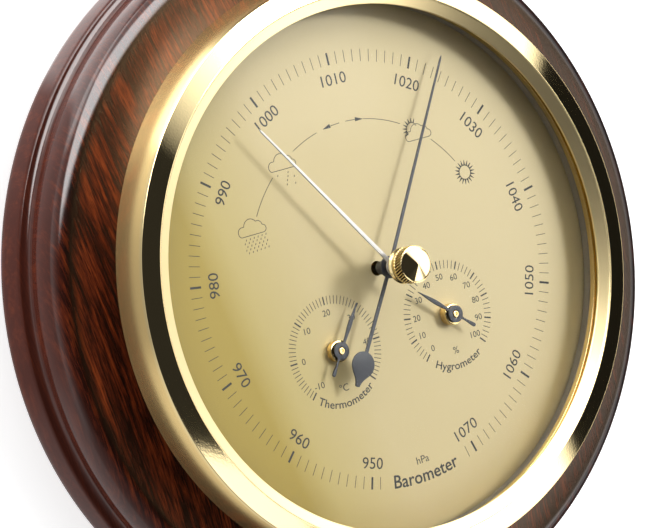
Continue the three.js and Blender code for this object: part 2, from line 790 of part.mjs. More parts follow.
function subdialBush(handHeight) {
  const top = handHeight - gap;
  const inner = subdialShaft + runningGap;
  return turned([
    [inner, dialBack - bushDepth], [bushNeck, dialBack - bushDepth], [bushNeck, dialFront + gap],
    [bushRadius, dialFront + gap], [bushRadius, top - 0.3], [bushRadius - 0.3, top], [inner, top],
    [inner, dialBack - bushDepth],
  ], smallRing);
}

function subdialShaftPiece(handHeight) {
  const low = bracketFloor + bracketStrap + gap;
  const top = handHeight + handThickness + 0.1;
  const collet = coilInner - coilStrip / 2 - runningGap;
  const coilLow = coilHeight - coilWidth / 2;
  const coilTop = coilHeight + coilWidth / 2;
  return turned([
    [0, low], [subdialShaft, low], [subdialShaft, coilLow], [collet, coilLow], [collet, coilTop],
    [subdialShaft, coilTop], [subdialShaft, top], [0.4, top], [0.3, top - 0.3], [0, top - 0.3],
  ], shaftRing);
}

// U-shaped strap under the dial that carries the coil's outer end and the shaft's foot.
function coilBracket() {
  const top = dialBack - gap;
  const [inner, outer] = [bracketReach, bracketReach + bracketStrap];
  const shape = new THREE.Shape();
  shape.moveTo(-outer, bracketFloor);
  shape.lineTo(outer, bracketFloor);
  shape.lineTo(outer, top);
  shape.lineTo(inner, top);
  shape.lineTo(inner, bracketFloor + bracketStrap);
  shape.lineTo(-inner, bracketFloor + bracketStrap);
  shape.lineTo(-inner, top);
  shape.lineTo(-outer, top);
  return upright(shape, bracketWidth, 1).translate(0, -bracketWidth / 2, 0);
}

function adjustingScrew() {
  const head = turned([
    [0, 1.1], [adjustingHead - 0.3, 1.1], [adjustingHead, 1.4], [adjustingHead, 2.5], [adjustingShank, 2.5],
    [adjustingShank, adjustingTop], [0, adjustingTop],
  ], smallRing);
  const slot = block(-adjustingHead - 1, adjustingHead + 1, -adjustingSlot / 2, adjustingSlot / 2, 0, 1.7);
  return cut(head, slot);
}

function addCase() {
  add('wood_case', woodCase(), stainedWood);
  add('bezel_ring', bezel(), polishedBrass);
  add('glass_dome', glass(), clearGlass);
  const underGlass = glassTop(sightRadius) - glassThickness;
  const spacerTop = dialFront + gap + spacerThickness;
  const retainerTop = glassEdgeHeight - gap;
  const retainer = ring(sightRadius, glassRadius, spacerTop + gap, retainerTop, bigRing);
  add('glass_retaining_ring', retainer, polishedBrass);
  add('dial_spacer_ring', ring(sightRadius, glassRadius, dialFront + gap, spacerTop, bigRing), greyPlastic);
  add('dial_plate', dialPlate(), dialGold);
  add('movement_pot', pot(), zincSteel);
  flangeScrewPlaces().forEach(([x, y], i) => {
    add(`flange_screw_${i + 1}`, turned(flangeScrewProfile(0), shaftRing), brightSteel, x, y);
  });
}

function addMovement() {
  add('base_plate', basePlate(), plainBrass);
  for (const [name, side] of [['left', -1], ['right', 1]]) {
    const dialPost = rod(dialPostRadius, topPlateHeight + plateThickness + gap, dialBack - gap, smallRing);
    add(`dial_post_${name}`, dialPost, plainBrass, side * dialPostAcross, dialPostUp);
  }
  const feet = [
    ['left', -footPostAcross, footPostTop], ['right', footPostAcross, footPostTop],
    ['lower', 0, footPostBottom],
  ];
  for (const [name, x, y] of feet) {
    const foot = rod(footPostRadius, potWall + gap, basePlateHeight - gap, smallRing);
    add(`base_foot_${name}`, foot, plainBrass, x, y);
  }
  pillarPlaces.forEach(([x, y], i) => {
    const pillar = rod(pillarRadius, basePlateHeight + plateThickness + gap, topPlateHeight - gap, shaftRing);
    add(`pillar_${i + 1}`, pillar, plainBrass, x, y);
  });
  add('train_plate', trainPlate(), plainBrass);
  add('top_plate', topPlate(), plainBrass);
  add('aneroid_capsule', capsule(), nickelSilver, 0, capsuleUp);
  add('capsule_nut', capsuleNut(), brightSteel, 0, capsuleUp);
  add('capsule_stud', rod(studRadius, studRest, studRest + studLength), brightSteel, 0, capsuleUp);
  add('rocking_lever', rockingLever(), brightSteel);
  add('rocker_bearing_lower', rockerBearing(lowerBearing), plainBrass);
  add('rocker_bearing_upper', rockerBearing(upperBearing), plainBrass);
  const sectorRest = barometerRest * pinionTeeth / sectorFullTeeth * degrees;
  add('toothed_sector', toothedSector(), plainBrass, 0, sectorUp, sectorRest);
  const sectorPivot = rod(arborRadius, trainPlateHeight - gap, topPlateHeight + plateThickness, shaftRing);
  add('sector_arbor', sectorPivot, brightSteel, 0, sectorUp, sectorRest);
  add('pinion_arbor', pinionArbor(), brightSteel, 0, 0, -barometerRest * degrees);
  const wire = hairspringWire;
  const coil = spiral(hairspringInner, hairspringOuter, hairspringTurns, wire, wire, hairspringHeight, 16);
  add('hairspring', coil, bluedSteel);
  const stud = rod(hairspringStudRadius, hairspringHeight - hairspringStudRadius, topPlateHeight - gap);
  add('hairspring_stud', stud, plainBrass, hairspringOuter + wire / 2 + hairspringStudRadius + gap);
}

function addBarometerHand() {
  const turn = -barometerRest * degrees;
  const hand = leaning(
    plate(barometerHandShape(), barometerHandHeight, handThickness),
    barometerTip, barometerTipDrop, barometerTail, barometerTailDrop,
  );
  add('barometer_hand', hand, bluedSteel, 0, 0, turn);
  const hub = ring(arborRadius + runningGap / 2, 1.5, dialFront + 1.4, barometerHandHeight - gap, smallRing);
  add('barometer_hand_hub', hub, plainBrass, 0, 0, turn);
}

function addSetHand() {
  const turn = -setRest * degrees;
  const flat = plate(setHandShape(), setHandHeight, handThickness);
  const hand = leaning(flat, setTip, setTipDrop, setTail, setTailDrop);
  add('set_hand', hand, whitePaint, 0, 0, turn);
  add('knob', knob(), polishedBrass);
  add('knob_spindle', knobSpindle(), plainBrass);
  add('glass_ferrule', glassFerrule(), plainBrass);
}

function addSubdial(name, side, handHeight, rest) {
  const x = side * subdialAcross;
  const hand = plate(subdialHandShape(), handHeight, handThickness);
  add(`${name}_hand`, hand, bluedSteel, x, subdialUp, -rest * degrees);
  add(`${name}_shaft`, subdialShaftPiece(handHeight), plainBrass, x, subdialUp);
  add(`${name}_bush`, subdialBush(handHeight), plainBrass, x, subdialUp);
  const coil = spiral(coilInner, coilOuter, coilTurns, coilStrip, coilWidth, coilHeight, 16);
  add(`${name}_coil`, coil, bimetal, x, subdialUp);
  add(`${name}_bracket`, coilBracket(), plainBrass, x, subdialUp);
}

addCase();
addMovement();
addBarometerHand();
addSetHand();
addSubdial('thermometer', -1, thermometerHandHeight, thermometerRest);
addSubdial('hygrometer', 1, hygrometerHandHeight, hygrometerRest);
add('adjusting_screw', adjustingScrew(), brightSteel, 0, adjustingUp);

const springGap = leastGap(hairspringInner, hairspringOuter, hairspringTurns, hairspringWire, 16);
const coilGap = leastGap(coilInner, coilOuter, coilTurns, coilStrip, 16);
console.log(`least gap in the hairspring ${springGap.toFixed(2)} mm, in the coils ${coilGap.toFixed(2)} mm`);

export default instrument;
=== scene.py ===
import json
import math

import bpy
import numpy as np
from mathutils import Matrix


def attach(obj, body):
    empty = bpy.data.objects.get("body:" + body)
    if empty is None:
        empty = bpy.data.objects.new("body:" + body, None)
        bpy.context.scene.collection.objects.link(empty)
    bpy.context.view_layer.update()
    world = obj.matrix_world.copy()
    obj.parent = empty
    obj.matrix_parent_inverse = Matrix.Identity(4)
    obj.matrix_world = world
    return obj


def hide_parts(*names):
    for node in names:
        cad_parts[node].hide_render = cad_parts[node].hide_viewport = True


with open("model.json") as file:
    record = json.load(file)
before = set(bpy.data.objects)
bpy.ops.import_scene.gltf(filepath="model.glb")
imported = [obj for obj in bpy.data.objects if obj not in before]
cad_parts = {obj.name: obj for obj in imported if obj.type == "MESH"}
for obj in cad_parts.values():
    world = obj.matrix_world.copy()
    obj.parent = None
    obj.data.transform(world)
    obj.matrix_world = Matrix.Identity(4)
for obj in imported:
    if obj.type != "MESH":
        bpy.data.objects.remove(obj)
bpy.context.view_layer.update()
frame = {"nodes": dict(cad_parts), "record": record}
print("frame loaded")

# Front coordinates: x right, y up, height from the wall towards the viewer, in millimetres.
dialFront = 26.0


# Meshes

def toPart(points):
    # front coordinates in millimetres become the part's in metres: x stays, the height goes to -y and up to z
    points = np.asarray(points, float)
    return np.column_stack([points[:, 0], -points[:, 2], points[:, 1]]) / 1000


def turnPoints(points, degrees, x=0.0, y=0.0):
    angle = math.radians(degrees)  # clockwise from twelve o'clock
    c, s = math.cos(angle), math.sin(angle)
    across, up, height = np.array(points, float).T
    return np.column_stack([c * across + s * up + x, c * up - s * across + y, height])


def makePiece(name, points, faces, material, body="case", replaced=(), sharp=32.0):
    mesh = bpy.data.meshes.new(name)
    mesh.from_pydata(toPart(points).tolist(), [], [list(face) for face in faces])
    mesh.validate()
    mesh.polygons.foreach_set("use_smooth", [True] * len(mesh.polygons))
    mesh.set_sharp_from_angle(angle=math.radians(sharp))
    mesh.materials.append(material)
    mesh.update()
    piece = bpy.data.objects.new(name, mesh)
    bpy.context.scene.collection.objects.link(piece)
    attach(piece, body)
    if replaced:
        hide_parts(*replaced)
    return piece


def gridFaces(rows, columns, wrapRows, wrapColumns):
    # quads between neighbours of a grid whose point (i, k) has the index i * columns + k
    i, k = np.meshgrid(np.arange(rows if wrapRows else rows - 1),
                       np.arange(columns if wrapColumns else columns - 1), indexing="ij")
    i, k = i.ravel(), k.ravel()
    nextI, nextK = (i + 1) % rows, (k + 1) % columns
    corners = [i * columns + k, nextI * columns + k, nextI * columns + nextK, i * columns + nextK]
    return np.column_stack(corners)


def turnedSurface(profile, sides, closedLoop=True):
    # radius and height of each profile point, repeated round the axis in even steps
    profile = np.asarray(profile, float)
    angles = np.arange(sides) * 2 * math.pi / sides
    rows = profile if closedLoop else profile[1:-1]
    count = len(rows)
    grid = np.zeros((sides, count, 3))
    grid[:, :, 0] = np.cos(angles)[:, None] * rows[None, :, 0]
    grid[:, :, 1] = np.sin(angles)[:, None] * rows[None, :, 0]
    grid[:, :, 2] = rows[None, :, 1]
    points = grid.reshape(-1, 3)
    faces = gridFaces(sides, count, True, closedLoop).tolist()
    if not closedLoop:
        low, high = len(points), len(points) + 1
        points = np.vstack([points, [[0, 0, profile[0, 1]], [0, 0, profile[-1, 1]]]])
        here = np.arange(sides) * count
        there = np.roll(here, -1)
        faces += np.column_stack([np.full(sides, low), there, here]).tolist()
        faces += np.column_stack([here + count - 1, there + count - 1, np.full(sides, high)]).tolist()
    return points, outward(points, faces)


def outward(points, faces):
    # the sum of a . (b x c) over all triangles is six times the volume; below zero, all faces turn over
    fans = np.array([(face[0], face[j], face[j + 1]) for face in faces for j in range(1, len(face) - 1)])
    a, b, c = (points[fans[:, j]] for j in range(3))
    volume = (a * np.cross(b, c)).sum()
    return faces if volume > 0 else [face[::-1] for face in faces]


def bezier(start, control, end, steps):
    # a curve of the second degree: the weights are (1 - t)^2, 2t(1 - t) and t^2
    t = np.linspace(0, 1, steps + 1)[:, None]
    start, control, end = (np.asarray(p, float) for p in (start, control, end))
    return (1 - t) ** 2 * start + 2 * t * (1 - t) * control + t ** 2 * end


def cubic(a, b, c, d, steps):
    # a curve of the third degree: the weights are (1 - t)^3, 3t(1 - t)^2, 3t^2(1 - t) and t^3
    t = np.linspace(0, 1, steps + 1)[:, None]
    a, b, c, d = (np.asarray(p, float) for p in (a, b, c, d))
    return (1 - t) ** 3 * a + 3 * t * (1 - t) ** 2 * b + 3 * t ** 2 * (1 - t) * c + t ** 3 * d


def softened(corners, closedLoop=True, steps=4):
    # every corner (radius, height, rounding) becomes a short curve that starts and ends the rounding
    # away from it, and a point a little further out on each side keeps the flat beside it flat
    out = []
    total = len(corners)
    for i, corner in enumerate(corners):
        here = np.array(corner[:2], float)
        rounding = corner[2] if len(corner) > 2 else 0.0
        if rounding <= 0 or (not closedLoop and i in (0, total - 1)):
            out.append(here)
            continue
        before = np.array(corners[i - 1][:2], float) - here
        after = np.array(corners[(i + 1) % total][:2], float) - here
        lengths = np.linalg.norm(before), np.linalg.norm(after)
        reach = min(rounding, lengths[0] * 0.45, lengths[1] * 0.45)
        before, after = before / lengths[0], after / lengths[1]
        out.append(here + before * min(reach * 1.25, lengths[0] * 0.48))
        out.extend(bezier(here + before * reach, here, here + after * reach, steps))
        out.append(here + after * min(reach * 1.25, lengths[1] * 0.48))
    return np.array(out)


def flatPlate(outlines, low, thickness, bevel=0.0):
    # the outlines of a flat piece and its holes, filled and thickened by a curve that is made a mesh at once
    curve = bpy.data.curves.new("flat", "CURVE")
    curve.dimensions = "2D"
    curve.fill_mode = "BOTH"
    curve.extrude = thickness / 2 - bevel
    curve.bevel_depth = bevel
    curve.bevel_resolution = 2
    curve.offset = -bevel
    for outline in outlines:
        spline = curve.splines.new("POLY")
        spline.points.add(len(outline) - 1)
        flat = np.column_stack([outline, np.zeros(len(outline)), np.ones(len(outline))])
        spline.points.foreach_set("co", flat.ravel())
        spline.use_cyclic_u = True
    return curvePoints(curve, low + thickness / 2)


def curvePoints(curve, height):
    # the curve's own mesh, lifted to the height
    holder = bpy.data.objects.new("flat", curve)
    bpy.context.scene.collection.objects.link(holder)
    bpy.context.view_layer.update()
    mesh = holder.evaluated_get(bpy.context.evaluated_depsgraph_get()).to_mesh()
    points = np.empty(3 * len(mesh.vertices))
    mesh.vertices.foreach_get("co", points)
    points = points.reshape(-1, 3)
    faces = [tuple(p.vertices) for p in mesh.polygons]
    holder.to_mesh_clear()
    bpy.data.objects.remove(holder)
    bpy.data.curves.remove(curve)
    points, faces = welded(points, faces)
    points[:, 2] += height
    return points, outward(points, faces)


def welded(points, faces, distance=1e-4):
    # points nearer than the distance become one, and faces that lose an edge by it are left out
    keys = np.round(points / distance).astype(np.int64)
    _, first, index = np.unique(keys, axis=0, return_index=True, return_inverse=True)
    index = index.ravel()
    kept = []
    for face in faces:
        row = []
        for i in face:
            j = int(index[i])
            if j not in row:
                row.append(j)
        if len(row) > 2:
            kept.append(tuple(row))
    return points[first], kept


def circle(radius, x=0.0, y=0.0, count=64):
    # the centre plus the radius times the cosine and the sine
    angles = np.arange(count) * 2 * math.pi / count
    return np.column_stack([x + radius * np.cos(angles), y + radius * np.sin(angles)])


def arc(radius, start, end, steps, x=0.0, y=0.0):
    # the same between two angles, counted anticlockwise from the right
    angles = np.radians(np.linspace(start, end, steps + 1))
    return np.column_stack([x + radius * np.cos(angles), y + radius * np.sin(angles)])


def bothSides(right):
    # the right half of an outline from top to bottom, then the same points mirrored on the way back up
    right = np.asarray(right, float)
    left = right[right[:, 0] > 1e-6][::-1] * [-1, 1]
    return np.vstack([right, left])[::-1]


def leaned(points, tip, tipDrop, tail, tailDrop):
    # the height falls evenly along the hand: by one drop at its tip, and by the other at its tail
    points = points.copy()
    along = points[:, 1]
    points[:, 2] -= np.where(along > 0, tipDrop * along / tip, -tailDrop * along / tail)
    return points


def stacked(parts):
    # the meshes one after another, each one's faces counted on from the points before it
    points, faces, start = [], [], 0
    for some, more in parts:
        points.append(np.asarray(some, float))
        faces.extend(tuple(i + start for i in face) for face in more)
        start += len(some)
    return np.vstack(points), faces


# Materials

def newMaterial(name):
    material = bpy.data.materials.new(name)
    material.use_nodes = True
    shader = material.node_tree.nodes["Principled BSDF"]
    return material, material.node_tree.nodes, material.node_tree.links, shader


def ramp(nodes, stops):
    node = nodes.new("ShaderNodeValToRGB")
    elements = node.color_ramp.elements
    while len(elements) < len(stops):
        elements.new(0.5)
    for element, (place, colour) in zip(elements, stops):
        element.position = place
        element.color = (*colour, 1.0)
    return node


def objectCoordinates(nodes, links, size, lean=0.0):
    # object coordinates turned by the lean about the dial's axis, then divided by a size in millimetres
    coordinates = nodes.new("ShaderNodeTexCoord")
    mapping = nodes.new("ShaderNodeMapping")
    mapping.vector_type = "TEXTURE"
    mapping.inputs["Scale"].default_value = [part / 1000 for part in size]
    mapping.inputs["Rotation"].default_value = (0, math.radians(lean), 0)
    links.new(coordinates.outputs["Object"], mapping.inputs["Vector"])
    return mapping.outputs["Vector"]


def noise(nodes, links, vector, detail=4.0, roughness=0.55, distortion=0.0):
    node = nodes.new("ShaderNodeTexNoise")
    node.inputs["Scale"].default_value = 1.0
    node.inputs["Detail"].default_value = detail
    node.inputs["Roughness"].default_value = roughness
    node.inputs["Distortion"].default_value = distortion
    links.new(vector, node.inputs["Vector"])
    return node.outputs["Fac"]


def bumpFrom(nodes, links, shader, height, strength, distance, socket="Normal"):
    node = nodes.new("ShaderNodeBump")
    node.inputs["Strength"].default_value = strength
    node.inputs["Distance"].default_value = distance
    links.new(height, node.inputs["Height"])
    links.new(node.outputs["Normal"], shader.inputs[socket])


def calc(nodes, links, operation, a, b):
    node = nodes.new("ShaderNodeMath")
    node.operation = operation
    for socket, value in zip(node.inputs, (a, b)):
        if isinstance(value, (int, float)):
            socket.default_value = value
        else:
            links.new(value, socket)
    return node.outputs[0]


def mixColour(nodes, links, mode, amount, a, b):
    node = nodes.new("ShaderNodeMix")
    node.data_type = "RGBA"
    node.blend_type = mode
    if isinstance(amount, (int, float)):
        node.inputs[0].default_value = amount
    else:
        links.new(amount, node.inputs[0])
    for socket, value in ((node.inputs[6], a), (node.inputs[7], b)):
        if isinstance(value, tuple):
            socket.default_value = (*value, 1.0)
        else:
            links.new(value, socket)
    return node.outputs[2]


def edgeAt(nodes, links, value, place, width):
    # nought below the place and one above it, with an even slope as wide as asked for between them
    slope = nodes.new("ShaderNodeMapRange")
    slope.inputs["From Min"].default_value = place - width / 2
    slope.inputs["From Max"].default_value = place + width / 2
    links.new(value, slope.inputs["Value"])
    return slope.outputs["Result"]


def ownPlace(nodes, links):
    # the object's own coordinates, taken apart
    coordinates = nodes.new("ShaderNodeTexCoord")
    apart = nodes.new("ShaderNodeSeparateXYZ")
    links.new(coordinates.outputs["Object"], apart.inputs[0])
    return apart.outputs


def between(nodes, links, value, low, high):
    # the same slope from one distance to another, both in millimetres
    return edgeAt(nodes, links, value, (low + high) / 2000, (high - low) / 1000)


def notOf(nodes, links, factor):
    return calc(nodes, links, "SUBTRACT", 1.0, factor)


def allOf(nodes, links, factors):
    product = factors[0]
    for factor in factors[1:]:
        product = calc(nodes, links, "MULTIPLY", product, factor)
    return product


def radiusFromAxis(nodes, links, x=0.0, y=0.0):
    # distance from the axis, in metres: the root of the two squares
    place = ownPlace(nodes, links)
    across = calc(nodes, links, "SUBTRACT", place["X"], x / 1000)
    up = calc(nodes, links, "SUBTRACT", place["Z"], y / 1000)
    squares = calc(nodes, links, "ADD", calc(nodes, links, "MULTIPLY", across, across),
                    calc(nodes, links, "MULTIPLY", up, up))
    return calc(nodes, links, "SQRT", squares, 0.0)


def turnedGrooves(nodes, links, radius, spacing):
    # noise read along the distance from the axis only, so that it makes fine circles
    vector = nodes.new("ShaderNodeCombineXYZ")
    links.new(calc(nodes, links, "MULTIPLY", radius, 1.0 / spacing), vector.inputs["X"])
    node = nodes.new("ShaderNodeTexNoise")
    node.inputs["Scale"].default_value = 1.0
    node.inputs["Detail"].default_value = 3.0
    links.new(vector.outputs[0], node.inputs["Vector"])
    return node.outputs["Fac"]


woodValues = {"lean": -7, "streak": (1.7, 5.0, 26), "fibre": (0.36, 2.0, 6.0), "pore": (0.2, 0.8, 2.6),
              "tones": [(0.40, (0.008, 0.0018, 0.0012)), (0.48, (0.026, 0.0044, 0.002)),
                        (0.54, (0.085, 0.0140, 0.0042)), (0.64, (0.20, 0.038, 0.0085))],
              "streakShare": 0.62, "pores": [(0.36, (0.3, 0.28, 0.26)), (0.46, (1, 1, 1))], "poreShare": 0.75,
              # painted shade: the wood's colour is darkened towards the right, by these shares
              "across": [(0, (1, 1, 1)), (70, (0.3, 0.3, 0.3))],  # millimetres to the right of the middle
              "edge": (0.085, 0.021, 0.013), "edgeFrom": 78.6, "edgeTo": 82.0, "edgeShare": 0.75,
              # painted shade: a dark line at the crease radius, of this half width and colour
              "crease": 77.5, "creaseHalf": 1.5, "creaseShade": (0.004, 0.0015, 0.001),
              "satin": 0.24, "shine": 0.36, "gold": (1.0, 0.6, 0.28),
              "polishFrom": 77.5, "polishTo": 78.7, "polish": 0.12, "dishCoat": 0.05,
              "flankFrom": 83.75, "flankTo": 84.25, "flankLoss": 0.6,
              "poreDepth": 0.1, "turning": 0.6, "turningShare": 0.035, "waves": (9, 9, 14)}


def woodMaterial(v):
    material, nodes, links, shader = newMaterial("stained wood")
    streak = noise(nodes, links, objectCoordinates(nodes, links, v["streak"], v["lean"]), 5.0, 0.6, 0.7)
    fibre = noise(nodes, links, objectCoordinates(nodes, links, v["fibre"], v["lean"]), 4.0, 0.6, 0.3)
    pore = noise(nodes, links, objectCoordinates(nodes, links, v["pore"], v["lean"]), 2.0, 0.5)
    streakPart = calc(nodes, links, "MULTIPLY", streak, v["streakShare"])
    fibrePart = calc(nodes, links, "MULTIPLY", fibre, 1 - v["streakShare"])
    tone = ramp(nodes, v["tones"])
    links.new(calc(nodes, links, "ADD", streakPart, fibrePart), tone.inputs["Fac"])
    pores = ramp(nodes, v["pores"])
    links.new(pore, pores.inputs["Fac"])
    grain, dots = tone.outputs["Color"], pores.outputs["Color"]
    colour = mixColour(nodes, links, "MULTIPLY", v["poreShare"], grain, dots)
    # the grain is evened out towards the edge
    radius = radiusFromAxis(nodes, links)
    outer = between(nodes, links, radius, v["edgeFrom"], v["edgeTo"])
    evened = calc(nodes, links, "MULTIPLY", outer, v["edgeShare"])
    colour = mixColour(nodes, links, "MIX", evened, colour, v["edge"])
    # painted shade: the turning is made darker to the right, a ramp over 200 mm with the axis at its middle
    shade = ramp(nodes, [(0.5 + mm / 200, share) for mm, share in v["across"]])
    place = calc(nodes, links, "DIVIDE", ownPlace(nodes, links)["X"], 0.2)
    links.new(calc(nodes, links, "ADD", place, 0.5), shade.inputs["Fac"])
    colour = mixColour(nodes, links, "MULTIPLY", 1.0, colour, shade.outputs["Color"])
    # painted shade: a dark line where the dish meets the bead, standing in for the shade of a crease the
    # smooth turned profile doesn't have
    away = calc(nodes, links, "ABSOLUTE", calc(nodes, links, "SUBTRACT", radius, v["crease"] / 1000), 0.0)
    clear = between(nodes, links, away, 0, v["creaseHalf"])
    colour = mixColour(nodes, links, "MIX", clear, v["creaseShade"], colour)
    links.new(colour, shader.inputs["Base Color"])
    # the bead is polished, the flank less so, and the dish inside has a satin sheen
    shader.inputs["Roughness"].default_value = v["satin"]
    shader.inputs["Specular Tint"].default_value = (*v["gold"], 1)
    polished = between(nodes, links, radius, v["polishFrom"], v["polishTo"])
    satin = calc(nodes, links, "MULTIPLY", notOf(nodes, links, polished), v["shine"])
    links.new(satin, shader.inputs["Specular IOR Level"])
    flank = between(nodes, links, radius, v["flankFrom"], v["flankTo"])
    lost = calc(nodes, links, "MULTIPLY", flank, v["flankLoss"])
    coat = calc(nodes, links, "MULTIPLY", calc(nodes, links, "SUBTRACT", polished, lost), 1 - v["dishCoat"])
    links.new(calc(nodes, links, "ADD", coat, v["dishCoat"]), shader.inputs["Coat Weight"])
    shader.inputs["Coat Roughness"].default_value = v["polish"]
    shader.inputs["Coat IOR"].default_value = 1.5
    bumpFrom(nodes, links, shader, pore, 0.3, v["poreDepth"] / 1000)
    lathe = turnedGrooves(nodes, links, radius, v["turning"] / 1000)
    waves = noise(nodes, links, objectCoordinates(nodes, links, v["waves"], v["lean"]), 2.0)
    uneven = calc(nodes, links, "ADD", calc(nodes, links, "MULTIPLY", lathe, v["turningShare"]), waves)
    bumpFrom(nodes, links, shader, uneven, 0.12, 0.0005, "Coat Normal")
    return material


def brassMaterial(name, colour, roughness, grooveSpacing=0.00012, grooveStrength=0.02, x=0.0, y=0.0):
    material, nodes, links, shader = newMaterial(name)
    shader.inputs["Metallic"].default_value = 1.0
    patches = noise(nodes, links, objectCoordinates(nodes, links, (11, 11, 11)), 4.0)
    tone = ramp(nodes, [(0.3, tuple(c * 0.95 for c in colour)), (0.7, colour)])
    links.new(patches, tone.inputs["Fac"])
    links.new(tone.outputs["Color"], shader.inputs["Base Color"])
    rough = nodes.new("ShaderNodeMapRange")
    rough.inputs["To Min"].default_value = roughness * 0.8
    rough.inputs["To Max"].default_value = roughness * 1.25
    links.new(patches, rough.inputs["Value"])
    links.new(rough.outputs["Result"], shader.inputs["Roughness"])
    grooves = turnedGrooves(nodes, links, radiusFromAxis(nodes, links, x, y), grooveSpacing)
    bumpFrom(nodes, links, shader, grooves, grooveStrength, 0.00004)
    return material


bezelValues = {"bore": 62.4, "lip": (59.2, 33.1), "facetIn": (61.95, 34.45), "facetOut": (66.3, 34.05),
               "foot": (68.2, 26.2), "flange": 67.5, "low": 25.4, "sides": 360,
               "colour": (0.88, 0.71, 0.38), "mirror": 0.03, "lipRoughness": 0.3, "wallRoughness": 0.26,
               "wallColour": (0.93, 0.68, 0.30), "speckle": 0.42, "speckleDepth": 0.0009}


def bezelMaterial(v):
    # the flat ring is a mirror with a fine speckle, and the lip inside it and the wall outside are duller
    colour = v["colour"]
    material, nodes, links, shader = newMaterial("polished brass")
    shader.inputs["Metallic"].default_value = 1.0
    patches = noise(nodes, links, objectCoordinates(nodes, links, (14, 14, 14)), 3.0)
    tone = ramp(nodes, [(0.3, tuple(c * 0.96 for c in colour)), (0.7, colour)])
    links.new(patches, tone.inputs["Fac"])
    radius = radiusFromAxis(nodes, links)
    inner, outer = v["facetIn"][0], v["facetOut"][0]
    outside = between(nodes, links, radius, outer, outer + 0.3)
    inside = notOf(nodes, links, between(nodes, links, radius, inner - 0.05, inner + 0.05))
    wall = calc(nodes, links, "MULTIPLY", outside, v["wallRoughness"] - v["mirror"])
    lip = calc(nodes, links, "MULTIPLY", inside, v["lipRoughness"] - v["mirror"])
    rough = calc(nodes, links, "ADD", calc(nodes, links, "ADD", wall, lip), v["mirror"])
    links.new(rough, shader.inputs["Roughness"])
    colour = mixColour(nodes, links, "MIX", outside, tone.outputs["Color"], v["wallColour"])
    links.new(colour, shader.inputs["Base Color"])
    speckle = noise(nodes, links, objectCoordinates(nodes, links, (v["speckle"],) * 3), 1.0)
    flatter = calc(nodes, links, "MULTIPLY", speckle, notOf(nodes, links, outside))
    bumpFrom(nodes, links, shader, flatter, 1.0, v["speckleDepth"] / 1000)
    return material


lacquerValues = {"span": 60.0, "lean": 0.206,  # millimetres across, shifted by the lean for each one up
                 # painted reflection: the lacquer's own olive at the left, paler past the slanting edge where
                 # a reflection is painted into the colour
                 "tones": [(-42.5, (0.43, 0.315, 0.062)), (-34.5, (0.56, 0.445, 0.175)),
                           (-15, (0.645, 0.525, 0.285)), (50, (0.69, 0.57, 0.335))],
                 # painted shade: the lacquer darkens towards the rim
                 "rim": [(0.80, (1, 1, 1)), (0.883, (0.92, 0.92, 0.91)), (0.933, (0.84, 0.84, 0.82)),
                         (1.0, (0.76, 0.76, 0.74))],  # at these shares of the span from the axis
                 "metallic": 0.1, "roughness": 0.5}


def dialMaterial(v):
    # satin lacquer with fine upright brushing: its own olive at the left, and paler past a soft slanting
    # edge, where a reflection is painted in; painted shade darkens it towards the rim
    material, nodes, links, shader = newMaterial("dial gold")
    own = ownPlace(nodes, links)
    across = calc(nodes, links, "ADD", own["X"], calc(nodes, links, "MULTIPLY", own["Z"], v["lean"]))
    span = v["span"]
    place = calc(nodes, links, "ADD", calc(nodes, links, "MULTIPLY", across, 500 / span), 0.5)
    # painted reflection: paler past a soft slanting edge
    tone = ramp(nodes, [((mm + span) / (2 * span), colour) for mm, colour in v["tones"]])
    links.new(place, tone.inputs["Fac"])
    brushing = noise(nodes, links, objectCoordinates(nodes, links, (0.12, 1, 6)), 3.0)
    fine = ramp(nodes, [(0.35, (0.965, 0.96, 0.94)), (0.65, (1, 1, 1))])
    links.new(brushing, fine.inputs["Fac"])
    # painted shade: darker towards the rim
    rim = ramp(nodes, v["rim"])
    links.new(calc(nodes, links, "MULTIPLY", radiusFromAxis(nodes, links), 1000 / span), rim.inputs["Fac"])
    brushed = mixColour(nodes, links, "MULTIPLY", 1.0, tone.outputs["Color"], fine.outputs["Color"])
    colour = mixColour(nodes, links, "MULTIPLY", 1.0, brushed, rim.outputs["Color"])
    links.new(colour, shader.inputs["Base Color"])
    shader.inputs["Metallic"].default_value = v["metallic"]
    shader.inputs["Roughness"].default_value = v["roughness"]
    bumpFrom(nodes, links, shader, brushing, 0.05, 0.00003)
    return material


glassFinish = {"tint": (0.985, 0.99, 0.985), "roughness": 0.12, "index": 1.06, "ripple": (25, 25, 25)}


def glassMaterial(v):
    # clear with a faint soft gloss, as a coated glass has
    material, nodes, links, shader = newMaterial("clear glass")
    nodes.remove(shader)
    clear = nodes.new("ShaderNodeBsdfTransparent")
    clear.inputs["Color"].default_value = (*v["tint"], 1)
    gloss = nodes.new("ShaderNodeBsdfGlossy")
    gloss.inputs["Roughness"].default_value = v["roughness"]
    fresnel = nodes.new("ShaderNodeFresnel")
    fresnel.inputs["IOR"].default_value = v["index"]
    mixed = nodes.new("ShaderNodeMixShader")
    links.new(fresnel.outputs[0], mixed.inputs[0])
    links.new(clear.outputs[0], mixed.inputs[1])
    links.new(gloss.outputs[0], mixed.inputs[2])
    ripple = noise(nodes, links, objectCoordinates(nodes, links, v["ripple"]), 2.0)
    bumpFrom(nodes, links, gloss, ripple, 0.02, 0.0002)
    links.new(mixed.outputs[0], nodes["Material Output"].inputs["Surface"])
    return material


